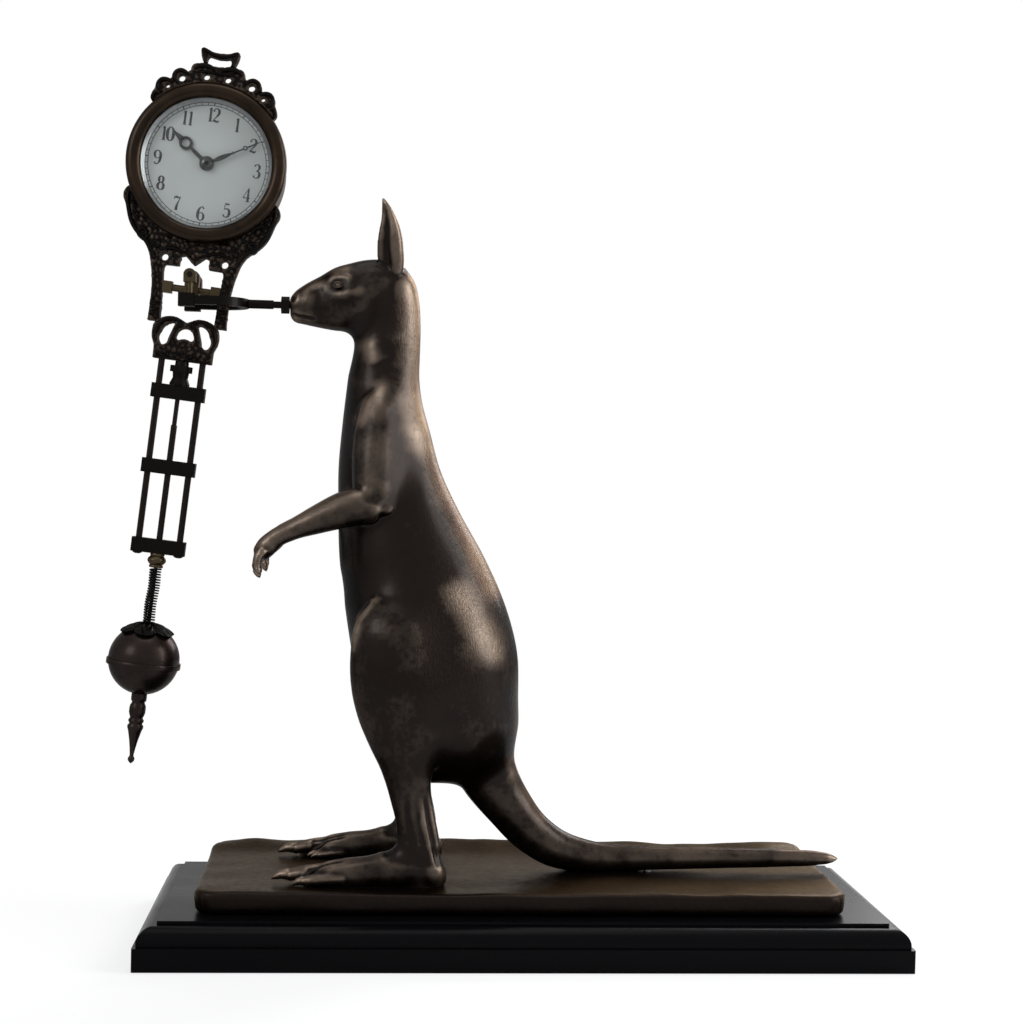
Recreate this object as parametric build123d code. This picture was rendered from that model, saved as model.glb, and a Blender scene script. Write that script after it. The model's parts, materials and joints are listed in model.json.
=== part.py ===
from build123d import *
import os
from math import acos, asin, atan2, cos, degrees, pi, radians, sin, sqrt

# Mystery clock: a bronze animal on a plinth holds a fork in its mouth, and a long clock pendulum
# hangs from the fork. Millimetres, +Z up, +X to the animal's back, +Y away from the viewer. The
# origin is the middle of the base's underside.

# Wooden base
base_length = 335.0
base_width = 130.0
base_slab_top = 10.3
base_top = 19.7
base_step_out = 1.6
base_step_height = 0.9
base_top_inset = 9.4
base_top_riser = 1.6
base_fillet_inset = 2.2
base_edge_radius = 0.8

# Felt let into the underside of the base
felt_margin = 7.0
felt_thickness = 1.5
felt_proud = 0.3
felt_gap = 0.2

# Bronze ground slab
plinth_length = 288.0
plinth_width = 101.0
plinth_thickness = 10.3
plinth_centre_x = -0.8
plinth_centre_y = 2.5
plinth_corner_radius = 11.0
plinth_edge_radius = 2.6

# Figure
figure_height = 305.0
figure_x = -50.0
mouth_height_share = 0.8393
mouth_bore_depth = 13.0

# Fasteners of base and plinth
wood_screw_radius = 2.0
wood_screw_head_radius = 4.0
wood_screw_head_height = 2.6
wood_screw_bite = 6.0
wood_screw_inset_x = 25.0
figure_screw_radius = 1.8
figure_screw_head_radius = 3.3
figure_screw_head_height = 2.4
figure_screw_bite = 8.0
screw_clearance = 0.05
head_clearance = 0.3

# Fork that the figure holds
fork_rod_radius = 1.55
fork_shank_radius = 2.0
fork_shank_length = 11.0
fork_thin_length = 7.0
fork_prong_spacing = 26.0
fork_prong_width = 4.0
fork_prong_height = 3.9
fork_pad_length = 7.1
fork_pad_width = 5.2
fork_pad_height = 5.9
lock_nut_across_flats = 6.7
lock_nut_thickness = 3.7
lock_nut_gap = 0.1
lock_nut_clearance = 0.03

# Bearing posts and the pivot
pivot_above_fork = 11.0
pivot_from_mouth = 43.5
pivot_radius = 1.2
pivot_running_clearance = 0.05
pivot_seat_clearance = 0.02
pivot_overhang = 0.4
post_head_width = 5.4
post_head_depth = 5.0
post_head_drop = 3.3
post_neck_radius = 1.5
post_stud_radius = 1.2
post_stud_length = 4.0
post_stud_clearance = 0.02

# Photographed lean of the hanging clock
lean_angle = 6.2

# Hanger on the pivot and the cross rod through it
hanger_width = 6.2
hanger_depth = 6.4
hanger_drop = 8.4
hanger_top_radius = 3.1
cross_rod_radius = 1.6
cross_rod_drop = 5.65
cross_rod_clearance = 0.03
cross_nut_length = 4.2
cross_nut_across = 5.2
cross_nut_gap = 0.08
nut_seat_room = 0.3

# Lyre frame that carries the drum
lyre_thickness = 5.4
lyre_half_width = 34.9
lyre_top = 37.0
lyre_bottom = 21.6
lyre_seat_gap = 0.06
lyre_hole_radius = 1.6

# Scroll bracket under the lyre
bracket_gap = 0.06
bracket_bottom = 38.0
bracket_half_width = 15.0
bracket_thickness = 5.0
bracket_socket_depth = 3.0

# Cross bars and outer rods of the grid
bar_length = 24.0
bar_height = 6.4
bar_depth = 5.6
top_bar_drop = 49.0
middle_bar_drop = 83.0
bottom_bar_drop = 119.0
outer_rod_radius = 1.45
outer_rod_spacing = 18.4
grid_clearance = 0.03
cap_nut_radius = 2.1
cap_nut_height = 1.0

# Rating nut and regulating rod
rating_nut_wheel_radius = 5.0
rating_nut_ribs = 18
rating_nut_rib_depth = 0.35
rating_nut_end_gap = 0.12
rod_thin_radius = 1.05
rod_thick_radius = 1.4
rod_step_drop = 67.0
rod_lower_step_drop = 122.3
rod_spring_radius = 0.9
rod_running_clearance = 0.05
rod_top_drop = 40.6
rod_end_in_finial = 4.0

# Ferrule and coil spring
ferrule_height = 6.4
ferrule_radius = 4.2
spring_turns = 21
spring_wire = 0.5
spring_wire_side_share = 0.8
spring_outer_radius = 2.2
spring_length = 25.2
spring_sway = 0.35
spring_end_gap = 0.15

# Ball, leaf cap and finial
ball_radius = 16.0
ball_lip_radius = 16.7
ball_lip_half_height = 1.3
ball_lip_drop = 1.8
ball_lip_gap = 0.04
ball_flat_radius = 3.3
ball_bands = 5
ball_bore_clearance = 0.03
leaf_cap_thickness = 0.7
leaf_cap_reach = 10.4
leaf_cap_lobes = 7
leaf_cap_lobe_depth = 1.5
leaf_cap_gap = 0.03
finial_length = 32.0
finial_radius = 3.7

# Drum, measured from its own centre
drum_drop = -51.0
drum_set_back = 7.0
drum_radius = 34.0
drum_wall = 1.0
drum_front = -11.5
drum_back = 14.5
drum_ledge_inner_radius = 28.5
drum_ledge_front = -9.0
drum_ledge_back = -6.3
back_cover_thickness = 1.2
back_cover_lip = 0.8
back_cover_gap = 0.06
winding_hole_radius = 2.6
setting_hole_radius = 2.2

# Bezel, glass and the silver ring
bezel_radius = 35.6
bezel_front = -16.4
bezel_opening_radius = 29.6
bezel_pocket_radius = 31.8
bezel_skirt_back = -10.0
bezel_fit = 0.05
bezel_bands = 5
glass_radius = 31.6
glass_thickness = 1.0
glass_edge_front = -13.05
glass_rise = 1.9
glass_bands = 2
glass_rim_gap = 0.2
ring_inner_radius = 27.7
ring_outer_radius = 31.6
ring_front = -11.9
ring_back = -9.7

# Dial and hands
dial_radius = 32.8
dial_thickness = 0.5
dial_gap = 0.05
dial_bore_radius = 2.6
hour_hand_length = 21.3
hour_hand_front = -10.75
minute_hand_length = 26.3
minute_hand_front = -11.75
hand_thickness = 0.4
hour_hand_hub_radius = 3.4
minute_hand_hub_radius = 4.2
hand_nut_radius = 2.3
hand_nut_height = 0.9
hour_hand_angle = 307.0
minute_hand_angle = 60.5

# Crest above the drum
crest_front = -13.2
crest_back = -8.2
crest_height = 51.0
crest_half_width = 28.0
crest_fit = 0.08

# Plates of the movement
plate_thickness = 1.2
front_plate_front = -6.25
back_plate_front = 6.0
back_plate_radius = 26.2
plate_gap = 0.2
plate_sides = 12
pillar_radius = 1.5
pillar_circle_radius = 24.3
pillar_angles = (60, 120, 240, 300)
arbor_radius = 0.7
arbor_clearance = 0.04
arbor_end_gap = 0.1

# Gears: each entry is the number of teeth and the module
cannon_teeth, motion_module = 10, 0.72
minute_wheel_teeth = 30
minute_pinion_teeth = 8
hour_wheel_teeth = 32
barrel_teeth, barrel_module = 32, 0.65
centre_pinion_teeth = 8
centre_wheel_teeth, centre_module = 32, 0.63
third_pinion_teeth = 8
third_wheel_teeth, third_module = 36, 0.6
escape_pinion_teeth = 6
escape_teeth = 15
escape_radius = 6.4
escape_root_radius = 4.9
addendum_share = 0.8
dedendum_share = 1.6
tooth_tip_share = 0.05
barrel_angle = 200.0
third_angle = 35.0
minute_wheel_angle = 0.0
gear_width = 0.8
pinion_width = 1.5
cannon_front = -7.45
hour_wheel_front = -8.55
barrel_front = -4.2
barrel_depth = 5.2
third_wheel_front = -1.6
centre_wheel_front = 2.0
escape_front = 3.8
centre_arbor_radius = 0.9
hour_pipe_radius = 2.3
hour_pipe_bore = 1.3
winding_arbor_radius = 1.4

# Anchor and the short pendulum behind the back plate
anchor_rise = 9.7
anchor_reach = 7.2
anchor_drop = 6.4
anchor_arm_width = 1.5
anchor_arm_middle_share = 0.62
anchor_pallet = 1.3
pendulum_front = 8.3
pendulum_rod_width = 1.0
pendulum_length = 15.4
pendulum_bob_radius = 5.5
pendulum_bob_thickness = 2.8

# Winding key and setting knob behind the back cover
key_gap = 0.5
key_hub_radius = 2.4
key_hub_length = 3.2
key_wing_span = 14.0
key_wing_length = 6.5
key_wing_thickness = 1.4
setting_knob_radius = 3.4
setting_knob_length = 3.0
setting_knob_ribs = 16
knurl_depth = 0.3

cut_over = 1.0
right_angle = 90.0

# Outlines, as shares of the sizes that they follow
# The figure: shares of its height, from its ankle's place and the top of the plinth.
# Height, front, back and half width of each slice of the body and neck
body_shares = (
    (0.127, 0.03, 0.095, 0.015),
    (0.15, -0.015, 0.135, 0.06),
    (0.207, -0.062, 0.157, 0.108),
    (0.328, -0.096, 0.155, 0.123),
    (0.469, -0.12, 0.101, 0.097),
    (0.564, -0.121, 0.044, 0.077),
    (0.662, -0.118, 0.016, 0.064),
    (0.757, -0.108, -0.004, 0.046),
    (0.83, -0.095, -0.007, 0.041),
    (0.892, -0.075, -0.026, 0.028),
)
# Place along X, lowest, highest and half width of each slice of the head
head_shares = (
    (-0.198, 0.826, 0.854, 0.014),
    (-0.174, 0.812, 0.874, 0.027),
    (-0.134, 0.803, 0.894, 0.037),
    (-0.085, 0.796, 0.91, 0.046),
    (-0.036, 0.816, 0.898, 0.031),
    (-0.023, 0.836, 0.879, 0.015),
)
# Height, front, back, distance from the middle and half width of each slice of a leg
leg_shares = (
    (0.41, -0.052, -0.016, 0.089, 0.015),
    (0.361, -0.092, 0.049, 0.089, 0.041),
    (0.275, -0.09, 0.092, 0.095, 0.049),
    (0.2, -0.066, 0.052, 0.097, 0.036),
    (0.138, -0.036, 0.024, 0.093, 0.024),
    (0.069, -0.026, 0.034, 0.09, 0.021),
    (-0.009, -0.028, 0.046, 0.089, 0.025),
)
foot_side_share = 0.089
# Place along X, lowest, highest and half width of each slice of a foot
foot_shares = (
    (0.049, 0.003, 0.023, 0.011),
    (0.028, -0.01, 0.054, 0.024),
    (-0.052, -0.013, 0.044, 0.028),
    (-0.138, -0.013, 0.028, 0.033),
    (-0.184, -0.007, 0.015, 0.016),
    (-0.203, 0.002, 0.009, 0.004),
)
# Place along X, distance from the middle, height and radius of each slice of an upper arm
upper_arm_shares = (
    (-0.05, 0.02, 0.716, 0.006),
    (-0.052, 0.05, 0.66, 0.028),
    (-0.055, 0.069, 0.6, 0.033),
    (-0.058, 0.077, 0.55, 0.03),
    (-0.06, 0.079, 0.526, 0.012),
)
# The same for a forearm and its hand
forearm_shares = (
    (-0.032, 0.077, 0.555, 0.01),
    (-0.06, 0.079, 0.549, 0.029),
    (-0.1, 0.082, 0.541, 0.028),
    (-0.146, 0.083, 0.525, 0.021),
    (-0.187, 0.083, 0.506, 0.0135),
    (-0.213, 0.082, 0.487, 0.0145),
    (-0.234, 0.081, 0.459, 0.012),
    (-0.241, 0.079, 0.433, 0.004),
)
# Height, place along X, distance from the middle and both half widths of each slice of an ear
ear_shares = (
    (0.885, -0.049, 0.021, 0.018, 0.014),
    (0.934, -0.054, 0.029, 0.018, 0.014),
    (0.977, -0.056, 0.035, 0.01, 0.008),
    (0.999, -0.064, 0.037, 0.002, 0.002),
)
# Place along X, height and radius of each slice of the tail
tail_shares = (
    (0.035, 0.285, 0.05),
    (0.07, 0.225, 0.07),
    (0.096, 0.17, 0.052),
    (0.128, 0.112, 0.041),
    (0.168, 0.063, 0.036),
    (0.235, 0.028, 0.0285),
    (0.348, 0.018, 0.018),
    (0.48, 0.019, 0.0155),
    (0.59, 0.019, 0.0128),
    (0.643, 0.019, 0.008),
    (0.655, 0.018, 0.002),
)
body_sides = 14
limb_sides = 10
ear_sides = 6
figure_screw_shares = ((0.0, 0.089), (0.0, -0.089), (0.36, 0.0))

# The lyre: shares of its half width and of its height above and below the pivot
lyre_outer_shares = (
    (0.945, 1.0),
    (1.0, 0.93),
    (0.975, 0.8),
    (0.92, 0.66),
    (0.86, 0.52),
    (0.78, 0.43),
    (0.68, 0.355),
    (0.61, 0.26),
    (0.57, 0.16),
    (0.53, 0.0),
    (0.505, -0.3),
    (0.5, -0.6),
    (0.505, -1.0),
)
lyre_window_shares = (
    (0.0, 0.14),
    (0.06, 0.19),
    (0.13, 0.25),
    (0.185, 0.23),
    (0.19, 0.115),
    (0.37, 0.11),
    (0.385, 0.06),
    (0.37, -0.2),
    (0.345, -0.9),
)
lyre_floor_share = 0.9
lyre_hole_share = (0.385, 0.2)

# The scroll bracket: shares of its half width and of its height under the pivot
bracket_outer_shares = (
    (0.94, 0.57),
    (1.0, 0.68),
    (0.975, 0.77),
    (0.92, 0.82),
    (0.89, 0.85),
    (0.885, 1.0),
)
bracket_arch_shares = ((0.78, 0.525), (0.6, 0.492), (0.3, 0.49), (0.12, 0.52), (0.0, 0.545))
bracket_side_hole_shares = (
    (0.34, 0.565),
    (0.56, 0.585),
    (0.72, 0.68),
    (0.77, 0.78),
    (0.68, 0.83),
    (0.57, 0.82),
    (0.5, 0.76),
    (0.42, 0.66),
)
bracket_middle_hole_shares = ((0.0, 0.615), (0.17, 0.64), (0.25, 0.7), (0.23, 0.75), (0.12, 0.745))
bracket_middle_floor_share = 0.735

# The crest: shares of its half width and of its height above the drum's centre
crest_outer_shares = (
    (0.0, 0.965),
    (0.16, 0.975),
    (0.27, 1.0),
    (0.31, 0.985),
    (0.29, 0.92),
    (0.235, 0.855),
    (0.36, 0.85),
    (0.41, 0.83),
    (0.425, 0.785),
    (0.47, 0.762),
    (0.59, 0.785),
    (0.67, 0.765),
    (0.7, 0.715),
    (0.73, 0.685),
    (0.85, 0.685),
    (0.93, 0.655),
    (0.945, 0.605),
    (0.985, 0.555),
    (1.0, 0.505),
    (0.965, 0.46),
)
crest_loop_hole_shares = ((0.0, 0.845), (0.15, 0.845), (0.19, 0.88), (0.16, 0.93), (0.0, 0.915))
crest_hole_shares = ((0.17, 0.745, 0.05), (0.555, 0.705, 0.055), (0.76, 0.62, 0.035))

# Turned profiles, as shares of the largest radius and of the length from the top
rating_nut_shares = (
    (0.0, 0.0),
    (0.6, 0.0),
    (0.62, 0.19),
    (0.74, 0.45),
    (0.68, 0.7),
    (0.9, 0.93),
    (0.9, 1.0),
    (0.0, 1.0),
)
rating_wheel_shares = (0.19, 0.45)
ferrule_shares = (
    (0.0, 0.0),
    (0.76, 0.0),
    (0.76, 0.18),
    (1.0, 0.42),
    (1.0, 0.55),
    (0.76, 0.82),
    (0.74, 1.0),
    (0.0, 1.0),
)
finial_shares = (
    (0.0, 0.0),
    (0.93, 0.0),
    (0.93, 0.1),
    (0.8, 0.12),
    (1.0, 0.2),
    (1.0, 0.29),
    (0.8, 0.35),
    (0.95, 0.39),
    (0.85, 0.44),
    (0.97, 0.48),
    (0.24, 0.89),
    (0.42, 0.945),
    (0.0, 1.0),
)

# The hands, as shares of each hand's length along and across it
hour_hand_shares = (
    (0.0, 0.05),
    (0.3, 0.06),
    (0.45, 0.035),
    (0.5, 0.12),
    (0.62, 0.17),
    (0.72, 0.1),
    (0.8, 0.03),
    (1.0, 0.004),
)
hour_hand_hole_shares = ((0.52, 0.04), (0.6, 0.11), (0.7, 0.03))
minute_hand_shares = (
    (0.0, 0.035),
    (0.4, 0.022),
    (0.44, 0.04),
    (0.48, 0.02),
    (0.64, 0.016),
    (0.69, 0.045),
    (0.74, 0.016),
    (0.88, 0.012),
    (1.0, 0.004),
)
minute_hand_hole_share = (0.69, 0.025)


def save(shape, name):
    """Write one named piece."""
    export_step(shape, f"parts/{name}.step")


def block(x_low, x_high, y_low, y_high, z_low, z_high):
    """A box between two corners."""
    middle = Pos((x_low + x_high) / 2, (y_low + y_high) / 2, (z_low + z_high) / 2)
    return middle * Box(x_high - x_low, y_high - y_low, z_high - z_low)


def rod_x(radius, x_low, x_high, y=0, z=0):
    """A round rod along X."""
    return Pos((x_low + x_high) / 2, y, z) * Rot(0, right_angle, 0) * Cylinder(radius, x_high - x_low)


def rod_y(radius, y_low, y_high, x=0, z=0):
    """A round rod along Y."""
    return Pos(x, (y_low + y_high) / 2, z) * Rot(right_angle, 0, 0) * Cylinder(radius, y_high - y_low)


def rod_z(radius, z_low, z_high, x=0, y=0):
    """A round rod along Z."""
    return Pos(x, y, (z_low + z_high) / 2) * Cylinder(radius, z_high - z_low)


def outline(*runs):
    """A closed face: each run goes on in arcs through three of its points, or ends in a line."""
    edges = []
    for points in runs:
        for i in range(0, len(points) - 2, 2):
            edges.append(ThreePointArc(*points[i : i + 3]))
        if len(points) % 2 == 0:
            edges.append(Line(*points[-2:]))
    return make_face(edges)


def mirrored(*runs):
    """A closed face from its right half, which runs from the middle line round to the middle line."""
    left = [[(-x, z) for x, z in points] for points in runs]
    return outline(*runs, *left)


def plate_y(face, y_front, y_back):
    """A face drawn in X and Z, thickened from y_front to y_back."""
    placed = Plane.XZ.offset(-y_back) * face
    return extrude(placed, y_back - y_front, dir=(0, -1, 0))


def turned_z(points):
    """A solid turned about Z from points of radius and height."""
    return revolve(Plane.XZ * make_face(Polyline(*points, close=True)), Axis.Z)


def turned_y(face):
    """A solid turned about Y from a face of radius and depth."""
    return revolve(face, Axis.Y)


def scaled(shares, width, height):
    """Points worked out from their shares of a width and a height."""
    return [(x * width, z * height) for x, z in shares]


def hang(shape):
    """Lean a piece of the hanging clock about the pivot, and put it in its place."""
    return Pos(pivot_x, 0, pivot_z) * Rot(0, lean_angle, 0) * shape


def in_drum(shape):
    """Move a piece from the drum's centre to its place on the hanging clock."""
    return Pos(0, drum_set_back, -drum_drop) * shape


plinth_top = base_top + plinth_thickness
mouth_z = plinth_top + mouth_height_share * figure_height
mouth_x = figure_x + head_shares[0][0] * figure_height
pivot_x = mouth_x - pivot_from_mouth
pivot_z = mouth_z + pivot_above_fork
prong_y = fork_prong_spacing / 2


def wood_screw_places():
    """Where the two screws come up through the base into the plinth."""
    reach = plinth_length / 2 - wood_screw_inset_x
    return [(plinth_centre_x + side * reach, plinth_centre_y) for side in (-1, 1)]


def figure_screw_places():
    """Where the screws come up through the plinth into the feet and the tail."""
    return [(figure_x + x * figure_height, y * figure_height) for x, y in figure_screw_shares]


def moulding_face(half_size, height_low):
    """Half of the base's section: a slab, a step, a cove and the top's riser, mirrored."""
    step_x = half_size - base_step_out
    top_x = half_size - base_top_inset
    cove_high = base_top - base_top_riser
    cove_low = base_slab_top + base_step_height
    lip_x = top_x + base_fillet_inset
    bulge = (step_x - lip_x) / 2 * sqrt(2)
    middle = (lip_x + bulge, cove_low + (cove_high - cove_low) * sin(pi / 4))
    return mirrored(
        [(0, height_low), (half_size, height_low)],
        [(half_size, height_low), (half_size, base_slab_top)],
        [(half_size, base_slab_top), (step_x, base_slab_top)],
        [(step_x, base_slab_top), (step_x, cove_low)],
        [(step_x, cove_low), middle, (lip_x, cove_high)],
        [(lip_x, cove_high), (top_x, cove_high)],
        [(top_x, cove_high), (top_x, base_top)],
        [(top_x, base_top), (0, base_top)],
    )


def make_base():
    """The moulded wooden base: two long mouldings crossed, so that its corners are mitred."""
    along_x = extrude(Plane.YZ.offset(-base_length) * moulding_face(base_width / 2, felt_proud), base_length * 2)
    along_y = plate_y(moulding_face(base_length / 2, felt_proud), -base_width, base_width)
    base = along_x & along_y
    corners = base.edges().filter_by(Axis.Z).group_by(Axis.Z)[0]
    base = fillet(corners, base_edge_radius)
    half_x = base_length / 2 - felt_margin + felt_gap
    half_y = base_width / 2 - felt_margin + felt_gap
    base -= block(-half_x, half_x, -half_y, half_y, felt_proud - cut_over, felt_thickness)
    for x, y in wood_screw_places():
        head_top = felt_thickness + head_clearance + wood_screw_head_height
        base -= rod_z(wood_screw_head_radius + head_clearance, felt_proud, head_top, x, y)
        base -= rod_z(wood_screw_radius + head_clearance, felt_proud, base_top + cut_over, x, y)
    return base


def make_felt():
    """The felt sheet under the base, just proud of the wood, that the clock stands on."""
    half_x = base_length / 2 - felt_margin
    half_y = base_width / 2 - felt_margin
    return block(-half_x, half_x, -half_y, half_y, 0, felt_thickness)


def make_wood_screws():
    """Two pan-head screws, heads up against the wood, threads in the plinth."""
    screws = []
    for x, y in wood_screw_places():
        head_top = felt_thickness + head_clearance + wood_screw_head_height
        head = rod_z(wood_screw_head_radius, felt_thickness + head_clearance, head_top, x, y)
        screws.append(head + rod_z(wood_screw_radius, head_top, base_top + wood_screw_bite, x, y))
    return Compound(screws)


def make_plinth():
    """The cast ground slab with rounded edges, and its screw holes."""
    sketch = RectangleRounded(plinth_length, plinth_width, plinth_corner_radius)
    slab = extrude(Pos(plinth_centre_x, plinth_centre_y, base_top) * sketch, plinth_thickness)
    slab = fillet(slab.edges().group_by(Axis.Z)[-1], plinth_edge_radius)
    for x, y in wood_screw_places():
        hole_top = base_top + wood_screw_bite + head_clearance
        slab -= rod_z(wood_screw_radius + screw_clearance, base_top - cut_over, hole_top, x, y)
    for x, y in figure_screw_places():
        head_top = base_top + figure_screw_head_height + head_clearance
        slab -= rod_z(figure_screw_head_radius + head_clearance, base_top - cut_over, head_top, x, y)
        slab -= rod_z(figure_screw_radius + head_clearance, base_top, plinth_top + cut_over, x, y)
    return slab


def make_figure_screws():
    """Three screws from under the plinth: one in each foot and one in the tail."""
    screws = []
    for x, y in figure_screw_places():
        head_top = base_top + figure_screw_head_height + head_clearance
        head = rod_z(figure_screw_head_radius, base_top + head_clearance, head_top, x, y)
        screws.append(head + rod_z(figure_screw_radius, head_top, plinth_top + figure_screw_bite, x, y))
    return Compound(screws)


def oval(half_width, half_height, sides):
    """An oval slice with flat sides, its corners on the ellipse."""
    angles = [2 * pi * i / sides for i in range(sides)]
    return make_face(Polyline(*[(half_width * cos(a), half_height * sin(a)) for a in angles], close=True))


def slice_face(centre, normal, half_width, half_height):
    """One elliptical slice across a limb that runs along the normal, its width along Y."""
    across = Vector(0, 1, 0)
    flat = (across - Vector(*normal) * across.dot(Vector(*normal).normalized())).normalized()
    return Plane(origin=centre, x_dir=flat, z_dir=normal) * oval(half_width, half_height, limb_sides)


def figure_point(x_share, y_share, z_share):
    """A place on the figure from its shares of the height."""
    return Vector(
        figure_x + x_share * figure_height,
        y_share * figure_height,
        plinth_top + z_share * figure_height,
    )


def limb(centres, sizes):
    """A limb lofted through slices square to the line through their centres."""
    slices = []
    for i, (centre, (half_width, half_height)) in enumerate(zip(centres, sizes)):
        before = centres[max(i - 1, 0)]
        after = centres[min(i + 1, len(centres) - 1)]
        normal = (after - before).normalized()
        slices.append(slice_face(centre, normal, half_width, half_height))
    return loft(slices)


def make_body():
    """Body and neck, lofted upwards through level slices."""
    slices = []
    for z, front, back, half_width in body_shares:
        centre = figure_point((front + back) / 2, 0, z)
        half_length = (back - front) / 2 * figure_height
        slices.append(Plane(origin=centre) * oval(half_length, half_width * figure_height, body_sides))
    return loft(slices)


def make_head():
    """Head, lofted from the nose to the nape through upright slices."""
    slices = []
    for x, low, high, half_width in head_shares:
        centre = figure_point(x, 0, (low + high) / 2)
        face = oval(half_width * figure_height, (high - low) / 2 * figure_height, limb_sides)
        slices.append(Plane(origin=centre, x_dir=(0, 1, 0), z_dir=(1, 0, 0)) * face)
    return loft(slices)


def make_leg(side):
    """Thigh and shank as one level-sliced loft."""
    slices = []
    for z, front, back, out, half_width in leg_shares:
        centre = figure_point((front + back) / 2, side * out, z)
        half_length = (back - front) / 2 * figure_height
        slices.append(Plane(origin=centre) * oval(half_length, half_width * figure_height, limb_sides))
    return loft(slices)


def make_foot(side):
    """The long foot, from the heel to the claw of the middle toe."""
    slices = []
    for x, low, high, half_width in foot_shares:
        centre = figure_point(x, side * foot_side_share, (low + high) / 2)
        face = oval(half_width * figure_height, (high - low) / 2 * figure_height, limb_sides)
        slices.append(Plane(origin=centre, x_dir=(0, 1, 0), z_dir=(1, 0, 0)) * face)
    return loft(slices)


def round_limb(shares, side):
    """A limb of round slices from its table of shares."""
    centres = [figure_point(x, side * y, z) for x, y, z, r in shares]
    return limb(centres, [(r * figure_height, r * figure_height) for x, y, z, r in shares])


def make_arm(side):
    """Upper arm, then forearm and hand, bent at the elbow."""
    return round_limb(upper_arm_shares, side) + round_limb(forearm_shares, side)


def make_ear(side):
    """One upright ear."""
    slices = []
    for z, x, y, half_x, half_y in ear_shares:
        centre = figure_point(x, side * y, z)
        slices.append(Plane(origin=centre) * oval(half_x * figure_height, half_y * figure_height, ear_sides))
    return loft(slices)


def make_tail():
    """The tail, down to the plinth and out past its end."""
    return round_limb([(x, 0, z, r) for x, z, r in tail_shares], 1)


def make_figure():
    """The whole animal as one casting, cut flat where it stands, with its screw holes."""
    pieces = [make_body(), make_head(), make_tail()]
    for side in (-1, 1):
        pieces += [make_leg(side), make_foot(side), make_arm(side), make_ear(side)]
    figure = pieces[0].fuse(*pieces[1:])
    below = block(-base_length, base_length, -base_width, base_width, 0, plinth_top)
    figure -= below
    figure -= rod_x(
        fork_rod_radius + lock_nut_clearance, mouth_x - cut_over, mouth_x + mouth_bore_depth, 0, mouth_z
    )
    for x, y in figure_screw_places():
        hole_top = plinth_top + figure_screw_bite + head_clearance
        figure -= rod_z(figure_screw_radius + screw_clearance, plinth_top - cut_over, hole_top, x, y)
    return figure


def make_fork():
    """The fork: a round shank out of the mouth, a bow, and two prongs that end in square pads."""
    bow_outer = prong_y + fork_prong_width / 2
    bow_inner = prong_y - fork_prong_width / 2
    thin_start = mouth_x - lock_nut_gap - lock_nut_thickness - fork_thin_length + fork_thin_length / 2
    bow_tip = thin_start - fork_shank_length
    bow_centre = bow_tip - bow_outer
    pad_middle = pivot_x - post_head_width / 4
    z_low = mouth_z - fork_prong_height / 2
    bow = Pos(bow_centre, 0, z_low) * extrude(Circle(bow_outer) - Circle(bow_inner), fork_prong_height)
    bow &= block(bow_centre, bow_tip + cut_over, -bow_outer, bow_outer, z_low, z_low + fork_prong_height)
    fork = bow
    for side in (-1, 1):
        inner, outer = sorted((side * bow_inner, side * bow_outer))
        fork += block(pad_middle, bow_centre, inner, outer, z_low, z_low + fork_prong_height)
        pad = block(
            pad_middle - fork_pad_length / 2,
            pad_middle + fork_pad_length / 2,
            side * prong_y - fork_pad_width / 2,
            side * prong_y + fork_pad_width / 2,
            mouth_z - fork_pad_height / 2,
            mouth_z + fork_pad_height / 2,
        )
        fork += pad
        stud_low = mouth_z + fork_pad_height / 2 - post_stud_length - head_clearance
        fork -= rod_z(
            post_stud_radius + post_stud_clearance, stud_low, mouth_z + fork_pad_height, pivot_x, side * prong_y
        )
    fork += rod_x(fork_shank_radius, bow_tip - fork_prong_width / 2, thin_start, 0, mouth_z)
    fork += rod_x(fork_rod_radius, thin_start, mouth_x + mouth_bore_depth - head_clearance, 0, mouth_z)
    return fork


def make_lock_nut():
    """The hexagon nut that locks the fork's rod against the mouth."""
    nut = extrude(RegularPolygon(lock_nut_across_flats / 2, 6, major_radius=False), lock_nut_thickness)
    nut = Pos(mouth_x - lock_nut_gap - lock_nut_thickness, 0, mouth_z) * Rot(0, right_angle, 0) * nut
    return nut - rod_x(
        fork_rod_radius + lock_nut_clearance, mouth_x - lock_nut_thickness * 2, mouth_x + cut_over, 0, mouth_z
    )


def make_post(side):
    """One bearing post: a round-topped head with the pivot's bearing, a neck and a stud."""
    half = post_head_width / 2
    pad_top = mouth_z + fork_pad_height / 2
    y_low = side * prong_y - post_head_depth / 2
    y_high = side * prong_y + post_head_depth / 2
    head = block(pivot_x - half, pivot_x + half, y_low, y_high, pivot_z - post_head_drop, pivot_z)
    head += rod_y(half, y_low, y_high, pivot_x, pivot_z)
    post = head + rod_z(post_neck_radius, pad_top, pivot_z - half, pivot_x, side * prong_y)
    post += rod_z(post_stud_radius, pad_top - post_stud_length, pad_top + half, pivot_x, side * prong_y)
    return post - rod_y(
        pivot_radius + pivot_running_clearance, y_low - cut_over, y_high + cut_over, pivot_x, pivot_z
    )


def make_pivot_pin():
    """The pin that the whole clock swings on."""
    end = prong_y + post_head_depth / 2 + pivot_overhang
    return rod_y(pivot_radius, -end, end)


def make_hanger():
    """The block on the pivot pin, with the cross rod through its foot."""
    half = hanger_width / 2
    depth = hanger_depth / 2
    hanger = block(-half, half, -depth, depth, -hanger_drop, 0)
    hanger += rod_y(hanger_top_radius, -depth, depth)
    hanger -= rod_y(pivot_radius + pivot_seat_clearance, -depth - cut_over, depth + cut_over)
    return hanger - rod_x(
        cross_rod_radius + cross_rod_clearance, -half - cut_over, half + cut_over, 0, -cross_rod_drop
    )


def window_half_width():
    """Half the lyre's window at the cross rod."""
    return lyre_window_shares[-2][0] * lyre_half_width


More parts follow.
